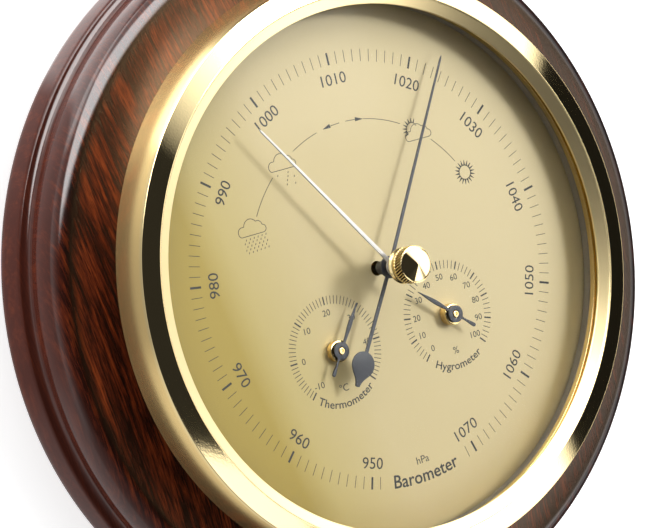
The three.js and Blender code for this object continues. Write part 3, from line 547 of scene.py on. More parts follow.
def knurledMaterial(v):
    # brass with painted shade darkening the grooves of the knurled band
    material = brassMaterial("knob brass", (0.88, 0.70, 0.36), 0.05)
    nodes, links = material.node_tree.nodes, material.node_tree.links
    shader = nodes["Principled BSDF"]
    plain = shader.inputs["Base Color"].links[0].from_socket
    height = calc(nodes, links, "MULTIPLY", ownPlace(nodes, links)["Y"], -1.0)
    start, front, rib = v["knurlStart"], v["front"], v["radius"] - 0.1
    # painted shade: dark in the band's grooves, plain brass on the rib crests
    paintedGrooveShade = allOf(nodes, links, [
        between(nodes, links, height, start - 0.1, start + 0.1),
        notOf(nodes, links, between(nodes, links, height, front - 0.05, front + 0.05)),
        notOf(nodes, links, between(nodes, links, radiusFromAxis(nodes, links), rib - 0.04, rib + 0.04))])
    links.new(mixColour(nodes, links, "MIX", paintedGrooveShade, plain, v["grooveShade"]), shader.inputs["Base Color"])
    return material


def paintMaterial(name, colour, roughness, metallic=0.0, speckle=0.06):
    material, nodes, links, shader = newMaterial(name)
    grains = noise(nodes, links, objectCoordinates(nodes, links, (1.1, 1.1, 1.1)), 3.0)
    dark = tuple(c * (1 - speckle) for c in colour)
    tone = ramp(nodes, [(0.35, dark), (0.65, colour)])
    links.new(grains, tone.inputs["Fac"])
    links.new(tone.outputs["Color"], shader.inputs["Base Color"])
    shader.inputs["Roughness"].default_value = roughness
    shader.inputs["Metallic"].default_value = metallic
    bumpFrom(nodes, links, shader, grains, 0.08, 0.00002)
    return material


wood = woodMaterial(woodValues)
bezelBrass = bezelMaterial(bezelValues)
ringBrass = brassMaterial("retaining ring brass", (0.86, 0.68, 0.36), 0.16)
smallBrass = brassMaterial("plain brass", (0.78, 0.58, 0.27), 0.16, 0.0001, 0.05)
dialGold = dialMaterial(lacquerValues)
glassClear = glassMaterial(glassFinish)
inkBlack = paintMaterial("printing ink", (0.022, 0.021, 0.02), 0.55)
slate = paintMaterial("slate lacquer", (0.052, 0.054, 0.066), 0.5)
silver = paintMaterial("silver white lacquer", (0.76, 0.735, 0.75), 0.36, 0.1)
greyRing = paintMaterial("grey moulding", (0.23, 0.205, 0.18), 0.5)
zinc = paintMaterial("zinc plated steel", (0.52, 0.53, 0.53), 0.36, 0.9, 0.12)
steel = paintMaterial("bright steel", (0.6, 0.61, 0.63), 0.22, 1.0, 0.05)
nickel = paintMaterial("nickel silver", (0.55, 0.53, 0.47), 0.28, 1.0, 0.06)
strip = paintMaterial("bimetal strip", (0.5, 0.38, 0.24), 0.32, 0.9, 0.08)
slotMaterials = {"stained_wood": wood, "polished_brass": bezelBrass, "dial_gold": dialGold,
                 "clear_glass": glassClear, "grey_plastic": greyRing, "zinc_steel": zinc,
                 "plain_brass": smallBrass, "nickel_silver": nickel, "blued_steel": slate,
                 "bright_steel": steel, "white_paint": silver, "bimetal": strip}
slotOf = {row["node"]: row["material_slot"] for row in frame["record"]["subparts"]}
for node, piece in frame["nodes"].items():
    piece.data.materials.clear()
    piece.data.materials.append(slotMaterials[slotOf[node]])
print("materials made")


# Case, bezel, glass and rings

caseValues = {"outer": 84.6, "backRounding": 7.5, "flankTop": 13.3, "arris": (82.1, 15.5),
              "dishPull": (72.0, 24.3), "dishEnd": (77.4, 23.45), "beadPull": (82.3, 22.7),
              "covePull": (82.2, 13.8),
              "bore": 62.6, "rebate": 67.8, "rebateFloor": 23.6, "seat": 25.9, "sides": 288,
              "holeRadius": 4.2, "holeDepth": 12.0, "holeUp": 70.2}


def woodProfile(v):
    # a shallow dish that falls outwards, the round bead, a cove and the flank, one curve after another
    outer, top = v["outer"], v["flankTop"]
    dish = bezier((v["rebate"], v["seat"]), v["dishPull"], v["dishEnd"], 28)
    bead = bezier(dish[-1], v["beadPull"], v["arris"], 40)[1:]
    cove = bezier(v["arris"], v["covePull"], (outer - 0.7, top + 0.35), 10)[1:]
    edge = bezier(cove[-1], (outer - 0.05, top + 0.3), (outer, top - 0.6), 5)[1:]
    around = np.radians(np.linspace(0, 90, 19))
    radius = v["backRounding"]
    back = np.column_stack([outer - radius * (1 - np.cos(around)), radius * (1 - np.sin(around))])
    inside = np.array([[v["bore"], 0.0], [v["bore"], v["rebateFloor"]], [v["rebate"], v["rebateFloor"]]])
    return np.vstack([inside, dish, bead, cove, edge, back])


def drilled(piece, v):
    # the blind hole for the nail, cut with a rod and applied
    points, faces = turnedSurface([(0, -1), (v["holeRadius"], -1), (v["holeRadius"], v["holeDepth"]),
                                   (0, v["holeDepth"])], 48, False)
    mesh = bpy.data.meshes.new("drill")
    mesh.from_pydata(toPart(points + [0, v["holeUp"], 0]).tolist(), [], faces)
    rod = bpy.data.objects.new("drill", mesh)
    bpy.context.scene.collection.objects.link(rod)
    cut = piece.modifiers.new("hole", "BOOLEAN")
    cut.operation = "DIFFERENCE"
    cut.solver = "EXACT"
    cut.object = rod
    bpy.context.view_layer.update()
    bored = bpy.data.meshes.new_from_object(piece.evaluated_get(bpy.context.evaluated_depsgraph_get()))
    piece.modifiers.clear()
    piece.data = bored
    bpy.data.objects.remove(rod)


points, faces = turnedSurface(woodProfile(caseValues), caseValues["sides"])
case = makePiece("turned_case", points, faces, wood, "case", ("wood_case",))
drilled(case, caseValues)


def bezelProfile(v):
    # up the outer wall, over the flat ring and down inside the lip
    (lipR, lipH), (inR, inH), (outR, outH), (footR, footH) = v["lip"], v["facetIn"], v["facetOut"], v["foot"]
    return softened([
        (v["bore"], v["low"]), (v["flange"], v["low"]), (v["flange"], footH), (footR, footH, 0.15),
        (footR - 0.45, footH + 2.2, 2.0), (footR - 1.1, footH + 5.2, 2.0), (outR, outH, 0.12),
        (inR, inH, 0.12), (inR - 0.22, inH - 0.3, 0.1), (lipR, lipH, 0.12), (lipR, lipH - 0.5, 0.1),
        (v["bore"], lipH - 0.5)])


points, faces = turnedSurface(bezelProfile(bezelValues), bezelValues["sides"])
makePiece("bezel", points, faces, bezelBrass, "case", ("bezel_ring",))


glassValues = {"radius": 62.0, "hole": 2.2, "edge": 30.4, "thickness": 1.6, "rise": 3.0, "sides": 192}


def glassProfile(v):
    # height falls with the square of the distance from the axis
    radii = np.linspace(v["hole"], v["radius"], 48)
    top = v["edge"] + v["thickness"] + v["rise"] * (1 - (radii / v["radius"]) ** 2)
    under = np.column_stack([radii, top - v["thickness"]])
    return np.vstack([under, np.column_stack([radii, top])[::-1]])


points, faces = turnedSurface(glassProfile(glassValues), glassValues["sides"])
makePiece("domed_glass", points, faces, glassClear, "case", ("glass_dome",))

ringValues = {"inner": 60.5, "outer": 62, "sides": 288,
              "retaining": (28.6, 30.1, 0.15), "spacer": (26.3, 28.3, 0.2)}  # from, to and rounding


def ringSurface(v, row):
    # a square section from one height to another, rounder at the inner front edge
    low, high, rounding = row
    inner, outer = v["inner"], v["outer"]
    corners = [(inner, low, 0.1), (outer, low, 0.1), (outer, high, 0.1), (inner, high, rounding)]
    return turnedSurface(softened(corners), v["sides"])


points, faces = ringSurface(ringValues, ringValues["retaining"])
makePiece("retaining_ring", points, faces, ringBrass, "case", ("glass_retaining_ring",))
points, faces = ringSurface(ringValues, ringValues["spacer"])
makePiece("spacer_ring", points, faces, greyRing, "case", ("dial_spacer_ring",))
print("case, bezel and glass made")


# Dial

dialValues = {"radius": 61.9, "thickness": 0.6, "centreHole": 1.7, "bushHole": 2.2, "subdialX": 16.35,
              "subdialY": -15.05}


def dialDisc(v):
    holes = [circle(v["centreHole"], count=48)[::-1]]
    holes += [circle(v["bushHole"], side * v["subdialX"], v["subdialY"], 48)[::-1] for side in (-1, 1)]
    return flatPlate([circle(v["radius"], count=288), *holes], dialFront - v["thickness"], v["thickness"])


points, faces = dialDisc(dialValues)
makePiece("dial", points, faces, dialGold, "case", ("dial_plate",))


printValues = {"thickness": 0.02, "tickOuter": 49.9, "tickInner": 47.1, "numeral": 43.9, "numeralCap": 2.7,
               "first": 949, "last": 1071, "upright": 1010, "perUnit": 2.7, "thin": 0.14, "thick": 0.5,
               "fontCap": 0.729}  # height of a capital in the built-in font of size 1


def textPoints(words, cap, wide=1.05, bold=0.0):
    # letters of the built-in font, centred on the origin, scaled so that a capital has the height asked for
    curve = bpy.data.curves.new("letters", "FONT")
    curve.body = words
    curve.align_x = "CENTER"
    curve.offset = bold
    curve.resolution_u = 3
    scale = cap / printValues["fontCap"]
    curve.extrude = printValues["thickness"] / 2 / scale
    points, faces = curvePoints(curve, 0.0)
    points = points * [scale * wide, scale, scale]
    points[:, 1] -= cap / 2
    points[:, 2] += dialFront + printValues["thickness"] / 2
    return points, faces


def boxPoints(x0, x1, y0, y1):
    # a thin box on the dial's face
    low, high = dialFront, dialFront + printValues["thickness"]
    points = [(x, y, z) for z in (low, high) for x, y in ((x0, y0), (x1, y0), (x1, y1), (x0, y1))]
    faces = [(3, 2, 1, 0), (4, 5, 6, 7), (0, 1, 5, 4), (1, 2, 6, 5), (2, 3, 7, 6), (3, 0, 4, 7)]
    return np.array(points, float), faces


def ribbon(path, width, closedLoop=False):
    # a line of even width: each point is moved half the width to either side of the line's direction there
    path = np.asarray(path, float)
    ahead = np.roll(path, -1, axis=0) - np.roll(path, 1, axis=0)
    if not closedLoop:
        ahead[0], ahead[-1] = path[1] - path[0], path[-1] - path[-2]
    ahead /= np.linalg.norm(ahead, axis=1)[:, None]
    side = np.column_stack([-ahead[:, 1], ahead[:, 0]]) * width / 2
    low, high = dialFront, dialFront + printValues["thickness"]
    count = len(path)
    corners = np.zeros((count, 4, 3))
    corners[:, (0, 3), :2] = (path - side)[:, None]
    corners[:, (1, 2), :2] = (path + side)[:, None]
    corners[:, :2, 2] = low
    corners[:, 2:, 2] = high
    faces = gridFaces(count, 4, closedLoop, True)[:, [0, 3, 2, 1]].tolist()
    if not closedLoop:
        last = 4 * (count - 1)
        faces += [(3, 2, 1, 0), (last, last + 1, last + 2, last + 3)]
    points = corners.reshape(-1, 3)
    return points, outward(points, faces)


def placed(part, degrees, x=0.0, y=0.0):
    # turned about the origin, then moved
    points, faces = part
    return turnPoints(points, degrees, x, y), faces


def mainScale(v):
    # a tick for every unit and a number at every tenth, with the lower numbers turned to be read from below
    parts = []
    for value in range(v["first"], v["last"] + 1):
        angle = (value - v["upright"]) * v["perUnit"]
        width = v["thin"] if value % 10 else v["thick"]
        parts.append(placed(boxPoints(-width / 2, width / 2, v["tickInner"], v["tickOuter"]), angle))
    for value in range(v["first"] + 1, v["last"], 10):
        angle = (value - v["upright"]) * v["perUnit"]
        points, faces = textPoints(str(value), v["numeralCap"])
        if abs(angle) > 90:
            points = points * [-1, -1, 1]
        points[:, 1] += v["numeral"]
        parts.append(placed((points, faces), angle))
    return parts


def arcWords(words, cap, radius, x, y, wide, bold):
    # letters on the lower half of a circle: across becomes the angle, and up becomes the distance inwards
    points, faces = textPoints(words, cap, wide, bold)
    angle = points[:, 0] / radius
    reach = radius - points[:, 1]
    return np.column_stack([x + reach * np.sin(angle), y - reach * np.cos(angle), points[:, 2]]), faces


def cloud(x, y):
    # the outline in each direction is the furthest point of any of the round lobes, cut at the base line
    lobes = np.array([(-2.5, 1.25, 1.2), (-0.2, 2.05, 1.8), (1.7, 1.9, 1.15), (2.85, 1.1, 0.85)])
    base, middle = 0.25, np.array([0.3, 1.3])
    angles = np.linspace(0, 2 * math.pi, 120, endpoint=False)
    ways = np.column_stack([np.cos(angles), np.sin(angles)])
    offset = lobes[:, :2] - middle
    along = ways @ offset.T
    inside = lobes[:, 2] ** 2 - ((offset ** 2).sum(axis=1) - along ** 2)
    reach = np.where(inside > 0, along + np.sqrt(np.maximum(inside, 0)), 0).max(axis=1)
    down = np.minimum(ways[:, 1], -1e-6)
    toBase = np.where(ways[:, 1] < -1e-6, (base - middle[1]) / down, 99)
    landing = middle[0] + toBase * ways[:, 0]
    overBase = (ways[:, 1] < -1e-6) & (landing > lobes[0, 0]) & (landing < lobes[-1, 0])
    return middle + ways * np.where(overBase, toBase, np.minimum(reach, toBase))[:, None] + [x, y]


def ringLine(radius, start, end, width):
    # clockwise angles from twelve o'clock
    angles = np.radians(np.linspace(90 - start, 90 - end, 24))
    return ribbon(np.column_stack([radius * np.cos(angles), radius * np.sin(angles)]), width)


def arrowHead(radius, tip, side):
    # a slender triangle along the ring, with its point at the clockwise angle tip
    points, faces = ribbon([(0, 0), (0, 2.2)], 0.95)
    points[4:, 0] *= 0.06
    points = turnPoints(points, side * 90) - [side * 2.2, 0, 0]
    return placed((points + [0, radius, 0], faces), tip)


def rainMark(x, y):
    return ribbon([(x - 0.09, y - 0.2), (x + 0.09, y + 0.2)], weatherValues["drop"])


def sunRays(x, y, angles, inner, outer, width):
    # pointed rays: the outer end of each narrow band is drawn in to a fifth of its width
    rays = []
    for angle in np.radians(angles):
        way = np.array([math.cos(angle), math.sin(angle)])
        root, tip = inner * way + [x, y], outer * way + [x, y]
        points, faces = ribbon([root, tip], width)
        points[4:, :2] = tip + 0.2 * (points[4:, :2] - tip)
        rays.append((points, faces))
    return rays


weatherValues = {"ring": 34.0, "line": 0.15, "arcs": ((-56.5, -40), (-26, -12.9), (9.9, 27.2), (42.9, 57)),
                 "arrow": (1.5, 6.2, 9.7),  # degrees from the top: the line's ends and the point
                 "drop": 0.17, "rows": 5, "columns": 6,
                 "storm": (-30.3, 14.9), "shower": (-18.6, 27.0), "fair": (19.8, 27.9), "sun": (30.6, 15.4),
                 "showerDrops": ((-1.8, -0.85), (1.1, -0.6), (0.85, -1.45), (0.45, -2.3), (0.15, -3.2),
                                 (2.5, -1.8), (2.45, -3.35)),
                 "fairSun": (-1.3, 0.4, 1.5),  # place from the mark's, and radius
                 "fairRays": (60, 210, 21.4, 2.6, 0.42),  # degrees from, to and apart, then reach and width
                 "sunRadius": 1.65, "sunRays": (0, 345, 20, 2.85, 0.46)}


def weatherPictures(v):
    line, ring = v["line"], v["ring"]
    parts = [ringLine(ring, start, end, line) for start, end in v["arcs"]]
    near, far, tip = v["arrow"]
    for side in (-1, 1):
        parts.append(ringLine(ring, side * near, side * far, line))
        parts.append(arrowHead(ring, side * tip, side))
    x, y = v["storm"]
    parts.append(ribbon(cloud(x, y), line, True))
    for row in range(v["rows"]):
        for column in range(v["columns"]):
            across = x - 2.1 + column * 1.08 - (row % 2) * 0.5
            parts.append(rainMark(across, y - 0.55 - row * 0.72 + column * 0.05))
    x, y = v["shower"]
    parts.append(ribbon(cloud(x, y), line, True))
    for dx, dy in v["showerDrops"]:
        parts.append(rainMark(x + dx, y + dy))
    x, y = v["fair"]
    parts.append(ribbon(cloud(x + 0.15, y - 2.45), line, True))
    dx, dy, radius = v["fairSun"]
    parts.append(ribbon(arc(radius, 20, 218, 30, x + dx, y + dy), line))
    first, last, step, reach, width = v["fairRays"]
    parts += sunRays(x + dx, y + dy, np.arange(first, last + 1, step), radius, reach, width)
    x, y = v["sun"]
    parts.append(ribbon(circle(v["sunRadius"], x, y, 48), 0.2, True))
    first, last, step, reach, width = v["sunRays"]
    parts += sunRays(x, y, np.arange(first, last + 1, step), v["sunRadius"], reach, width)
    return parts


subdialValues = {"thermometer": (-10, 50, 1, 4.5, 20), "hygrometer": (0, 100, 2, 2.7, 50),
                 "thin": 0.16, "thick": 0.34, "tickInner": 10.65, "tickOuter": 12.55, "numeral": 8.9,
                 "cap": 1.5, "word": 11.9, "wordCap": 1.85, "unitDown": 8.4}


def subdialScale(v, x, y, row):
    # a tick for every step, at an angle per unit from the upright value, and a number at every ten
    first, last, step, perUnit, upright = row
    parts = []
    for value in range(first, last + 1, step):
        width = v["thin"] if value % 10 else v["thick"]
        box = boxPoints(-width / 2, width / 2, v["tickInner"], v["tickOuter"])
        parts.append(placed(box, (value - upright) * perUnit, x, y))
    reach = v["numeral"]
    for value in range(first, last + 1, 10):
        angle = math.radians((value - upright) * perUnit)
        points, faces = textPoints(str(value), v["cap"])
        parts.append((points + [x + reach * math.sin(angle), y + reach * math.cos(angle), 0], faces))
    return parts


def dialPrint(v, small):
    left, right, up = -v["subdialX"], v["subdialX"], v["subdialY"]
    parts = mainScale(printValues) + weatherPictures(weatherValues)
    parts += subdialScale(small, left, up, small["thermometer"])
    parts += subdialScale(small, right, up, small["hygrometer"])
    parts.append(arcWords("Barometer", 3.1, 48.4, 0.0, 0.0, 1.0, 0.012))
    parts.append(arcWords("Thermometer", small["wordCap"], small["word"], left, up, 1.08, 0.01))
    parts.append(arcWords("Hygrometer", small["wordCap"], small["word"], right, up, 1.08, 0.01))
    down = up - small["unitDown"]
    for words, x, y, cap in (("hPa", 0.0, -44.8, 1.8), ("°C", left, down, 1.7), ("%", right, down, 1.7)):
        points, faces = textPoints(words, cap)
        parts.append((points + [x, y, 0], faces))
    return stacked(parts)


points, faces = dialPrint(dialValues, subdialValues)
makePiece("dial_print", points, faces, inkBlack)
print("dial printed:", len(faces), "faces")


# Hands, hubs and bushes

handValues = {"rest": 34.0, "tip": 52.0, "tail": 28.4, "hub": 2.55, "hole": 0.9, "drop": (-23.2, 3.0),
              "height": 30.7, "thickness": 0.4, "bevel": 0.07, "tipDrop": 1.6, "tailDrop": 0.5}
setValues = {"rest": -34.7, "tip": 45.5, "tail": 5.8, "hub": 2.2, "hole": 1.1,
             "height": 32.55, "thickness": 0.4, "bevel": 0.07,
             "tipDrop": 1.4, "tailDrop": 0.1, "tailLength": 6.0}
smallHandValues = {"hole": 0.95, "thickness": 0.4, "bevel": 0.06}


def barometerHandOutline(v):
    # the right side from the tip down: a long taper, the round hub, the drop and its point
    right = [(0, v["tip"]), (0.2, v["tip"] - 1.0), (0.42, v["hub"] + 0.05)]
    right += arc(v["hub"], 80, -80, 24).tolist()
    middle, radius = v["drop"]
    right += arc(radius, 82, -25, 24, 0, middle).tolist()
    right += cubic(right[-1], (2.2, -25.65), (0.75, -26.4), (0.55, -v["tail"] + 0.15), 12)[1:].tolist()
    right += [(0, -v["tail"])]
    return bothSides(right)


def setHandOutline(v):
    right = [(0, v["tip"]), (0.22, v["tip"] - 0.8), (0.5, v["hub"] + 0.05)]
    right += arc(v["hub"], 76, -76, 20).tolist()
    right += [(0.6, -v["tail"] + 0.4), (0, -v["tail"])]
    return bothSides(right)


def smallHandOutline():
    # a leaf-shaped point above the round hub, and a short leaf below it
    right = cubic((0.06, 11.6), (0.16, 9.4), (0.72, 7.0), (0.4, 4.4), 16).tolist()
    right += [(0.28, 2.05)]
    right += arc(2.0, 80, -80, 28).tolist()
    right += [(0.2, -2.6)]
    right += cubic((0.2, -2.6), (0.24, -4.2), (0.62, -5.9), (0.28, -6.15), 12)[1:].tolist()
    right += [(0, -6.2)]
    return bothSides(right)


def drilledPlate(outline, v):
    # the outline with a round hole on its axis
    hole = circle(v["hole"], count=32)[::-1]
    return flatPlate([outline, hole], v["height"], v["thickness"], v["bevel"])


handBody, handPiece = "barometer_hand_and_pinion", "barometer_hand"
v = handValues
points, faces = drilledPlate(barometerHandOutline(v), v)
points = turnPoints(leaned(points, v["tip"], v["tipDrop"], v["tail"], v["tailDrop"]), v["rest"])
makePiece("pressure_hand", points, faces, slate, handBody, (handPiece,))
v = setValues
points, faces = drilledPlate(setHandOutline(v), v)
points = turnPoints(leaned(points, v["tip"], v["tipDrop"], v["tailLength"], v["tailDrop"]), v["rest"])
makePiece("marker_hand", points, faces, silver, "set_hand_and_knob", ("set_hand",))

smallUnits = {"thermometer": {"x": -dialValues["subdialX"], "rest": 36.9, "height": 28.2},
              "hygrometer": {"x": dialValues["subdialX"], "rest": -50.1, "height": 28.8}}
for name, unit in smallUnits.items():
    x, y, height = unit["x"], dialValues["subdialY"], unit["height"]
    points, faces = drilledPlate(smallHandOutline(), {**smallHandValues, "height": height})
    points = turnPoints(points, unit["rest"], x, y)
    makePiece(name + "_pointer", points, faces, slate, name + "_pointer", (name + "_hand",))
    top = height - 0.3
    bush = softened([(0.95, 22.8), (1.9, 22.8), (1.9, 26.3), (2.5, 26.3, 0.1), (2.5, top, 0.3),
                     (0.95, top, 0.1)])
    points, faces = turnedSurface(bush, 64)
    points = points + [x, y, 0]
    bushBrass = brassMaterial(name + " bush brass", (0.82, 0.62, 0.3), 0.12, 0.0001, 0.05, x, y)
    makePiece(name + "_collar", points, faces, bushBrass, "case", (name + "_bush",))
    top = height + 0.5
    shaft = softened([(0, 16.4), (0.75, 16.4), (0.75, 16.9), (1.35, 16.9), (1.35, 19.9), (0.75, 19.9),
                      (0.75, top, 0.12), (0.42, top, 0.05), (0.3, top - 0.3), (0, top - 0.3)], False)
    points, faces = turnedSurface(shaft, 48, False)
    points = points + [x, y, 0]
    makePiece(name + "_arbor", points, faces, bushBrass, name + "_pointer", (name + "_shaft",))

hub = softened([(0.9, 27.4), (1.5, 27.4, 0.1), (1.5, 30.4, 0.1), (0.9, 30.4)])
points, faces = turnedSurface(hub, 64)
makePiece("hand_hub", points, faces, slate, handBody, (handPiece + "_hub",))
print("hands made")


# Knob

knobValues = {"radius": 4.2, "base": 35.6, "knurlStart": 38.3, "front": 40.8, "apex": 41.9, "grooves": 40,
              # the groove colour is the painted shade in the knurled band's grooves
              "bandRows": 23, "perGroove": 18, "depth": 0.34, "slant": 0.4, "grooveShade": (0.05, 0.022, 0.008)}


def knobSurface(v):
    # a smooth flange, a band with slanting ribs and a true cone; the ribs are a wave of angle and height
    base, start, front, radius = v["base"], v["knurlStart"], v["front"], v["radius"]
    below = softened([(0, base), (radius - 0.45, base, 0.1), (radius - 0.05, base + 0.4, 0.2),
                      (radius - 0.65, base + 1.5, 0.9), (radius - 0.3, start - 0.25, 0.2),
                      (radius, start)], False, 6)
    rows = v["bandRows"]
    band = np.column_stack([np.full(rows, radius), np.linspace(start, front, rows + 1)[1:]])
    rim = np.array([radius - 0.3, front + 0.06])
    cone = rim + (np.array([0.0, v["apex"]]) - rim) * np.linspace(0, 1, 16)[:, None]
    edge = bezier((radius, front), (radius - 0.06, front + 0.05), rim, 4)[1:-1]
    profile = np.vstack([below, band, edge, cone])
    points, faces = turnedSurface(profile, v["grooves"] * v["perGroove"], False)
    height = points[:, 2]
    angle = np.arctan2(points[:, 1], points[:, 0])
    slant = (height - start) * v["grooves"] / radius
    rib = 0.5 + 0.5 * np.cos(angle * v["grooves"] + v["slant"] * slant)
    # the ribs run out towards both ends of the band
    inside = np.clip((height - start) / 0.2, 0, 1) * np.clip((front + 0.06 - height) / 0.12, 0, 1)
    inside = np.where(np.hypot(points[:, 0], points[:, 1]) > radius - 0.29, inside, 0)
    depth = v["depth"] * (1 - rib ** 0.7) * inside
    scale = 1 - depth / radius
    points[:, 0] *= scale
    points[:, 1] *= scale
    return points, faces


points, faces = knobSurface(knobValues)
knobBrass = knurledMaterial(knobValues)
makePiece("knurled_knob", points, faces, knobBrass, "set_hand_and_knob", ("knob",), 40)
ferrule = softened([(1.2, 33.4), (1.8, 33.4), (1.8, 35.1), (3.0, 35.1, 0.1), (3.0, 35.4, 0.1),
                    (1.2, 35.4, 0.05)])
points, faces = turnedSurface(ferrule, 64)
makePiece("glass_bush", points, faces, inkBlack, "case", ("glass_ferrule",))
spindle = softened([(0, 32), (1.9, 32, 0.08), (1.9, 32.3, 0.08), (1.0, 32.3), (1.0, 39.3), (0, 39.3)], False)
points, faces = turnedSurface(spindle, 48, False)
makePiece("spindle", points, faces, smallBrass, "set_hand_and_knob", ("knob_spindle",))
print("knob made")


# Wall, light and camera

wallValues = {"half": 3.0, "behind": 0.0006, "colour": 0.84, "white": 0.72, "brightest": 3.0, "mirrored": [
    # its brightness in the metal and polish, against the clockwise angle round the case
    (0, 0.5), (12, 0.08), (150, 0.08), (190, 0.8), (250, 0.85), (259, 0.72), (267, 0.42), (283, 0.42),
    (292, 0.5), (300, 0.68), (314, 0.92), (317.5, 2.8), (341, 2.8), (345, 1.0), (352, 0.5), (360, 0.5)]}
studioValues = {
    "levels": {  # brightness against the angle in degrees from straight in front, positive to the right
        "low": [(-180, 0.85), (-130, 0.75), (-100, 0.6), (-60, 0.3), (0, 0.06), (33, 0.05), (38, 0.85),
                (75, 0.9), (110, 0.9), (180, 0.85)],
        "middle": [(-180, 1), (-140, 1), (-118, 0.8), (-100, 1), (-80, 1), (-66, 0.4), (-45, 0.05),
                   (20, 0.03), (48, 0.012), (56, 0.012), (58.5, 1.3), (66, 1.15), (76, 1), (88, 0.12),
                   (140, 0.12), (165, 1), (180, 1)],
        "high": [(-180, 1.2), (-150, 2), (-115, 2.2), (-90, 1.5), (-60, 0.6), (-20, 0.7), (0, 0.8), (13, 1),
                 (28, 1.2), (45, 1.2), (70, 1), (110, 1), (180, 1)],
        "top": [(-180, 1.5), (-150, 2), (-130, 6), (-70, 6), (-50, 2), (0, 1.7), (120, 1.7), (180, 1.5)]},
    "blends": {"middle": (-27, -21), "high": (17, 24), "top": (44, 52)},  # degrees up
    "brightest": 12.0,
    "window": {"left": 27.0, "leftLean": -0.22, "leftSoft": 6.4, "right": 47.8, "rightLean": 0.136,
               "low": -22.4, "high": 40, "level": 2.85},
    "patch": {"left": 18, "right": 29, "low": -22, "corner": (21, -11.7), "fall": -0.97, "level": 2.0},
    "cards": [  # seen by the polish and the metal only
        {"left": 46, "right": 69, "low": 9, "high": 40, "level": 2.85, "soft": 1.5},
        {"left": 57, "right": 69, "low": -26, "high": 12, "level": 2.85, "soft": 1.5},
        {"left": 29.5, "right": 69, "low": -42, "high": -27, "level": 2.85, "soft": 1.5},
        {"left": -44, "right": 22, "low": 22, "high": 62, "level": 12.0, "soft": 6}]}


def makeWall(v):
    # white to the camera; the metal and polish see levels of their own, and light passes from behind
    half, y, top = v["half"], v["behind"], v["brightest"]
    mesh = bpy.data.meshes.new("wall")
    corners = [(-half, y, -half), (half, y, -half), (half, y, half), (-half, y, half)]
    mesh.from_pydata(corners, [], [(0, 1, 2, 3)])
    material, nodes, links, shader = newMaterial("white wall")
    shader.inputs["Base Color"].default_value = (v["colour"],) * 3 + (1,)
    shader.inputs["Roughness"].default_value = 0.9
    shader.inputs["Specular IOR Level"].default_value = 0.0
    path = nodes.new("ShaderNodeLightPath")
    glossy, through = path.outputs["Is Glossy Ray"], path.outputs["Is Transmission Ray"]
    seen = calc(nodes, links, "MAXIMUM", path.outputs["Is Camera Ray"],
                calc(nodes, links, "MAXIMUM", glossy, through))
    links.new(calc(nodes, links, "MULTIPLY", seen, v["white"]), shader.inputs["Emission Strength"])
    shader.inputs["Emission Color"].default_value = (1, 1, 1, 1)
    clear = nodes.new("ShaderNodeBsdfTransparent")
    side = nodes.new("ShaderNodeNewGeometry")
    unseen = calc(nodes, links, "MAXIMUM", side.outputs["Backfacing"], path.outputs["Is Shadow Ray"])
    own = ownPlace(nodes, links)
    left = calc(nodes, links, "MULTIPLY", own["X"], -1.0)
    down = calc(nodes, links, "MULTIPLY", own["Z"], -1.0)
    # clockwise turns from the bottom, and half a turn more, so that nought is up
    turn = calc(nodes, links, "DIVIDE", calc(nodes, links, "ARCTAN2", left, down), 2 * math.pi)
    levels = ramp(nodes, [(angle / 360, (level / top,) * 3) for angle, level in v["mirrored"]])
    links.new(calc(nodes, links, "ADD", turn, 0.5), levels.inputs["Fac"])
    mirrored = nodes.new("ShaderNodeEmission")
    links.new(levels.outputs["Color"], mirrored.inputs["Color"])
    mirrored.inputs["Strength"].default_value = top
    surface = nodes.new("ShaderNodeMixShader")
    links.new(glossy, surface.inputs[0])
    links.new(shader.outputs[0], surface.inputs[1])
    links.new(mirrored.outputs[0], surface.inputs[2])
    mixed = nodes.new("ShaderNodeMixShader")
    links.new(unseen, mixed.inputs[0])
    links.new(surface.outputs[0], mixed.inputs[1])
    links.new(clear.outputs[0], mixed.inputs[2])
    links.new(mixed.outputs[0], nodes["Material Output"].inputs["Surface"])
    mesh.materials.append(material)
    wall = bpy.data.objects.new("wall", mesh)
    bpy.context.scene.collection.objects.link(wall)


def within(nodes, links, value, low, high, lowSoft, highSoft):
    # one between two places and nought outside them, each with its own slope
    return allOf(nodes, links, [edgeAt(nodes, links, value, low, lowSoft),
                                notOf(nodes, links, edgeAt(nodes, links, value, high, highSoft))])


def cardAt(nodes, links, turn, height, card):
    # a bright rectangle with soft edges, in degrees round and up
    soft = card["soft"]
    return allOf(nodes, links, [within(nodes, links, turn, card["left"], card["right"], soft, soft),
                                within(nodes, links, height, card["low"], card["high"], soft, soft)])


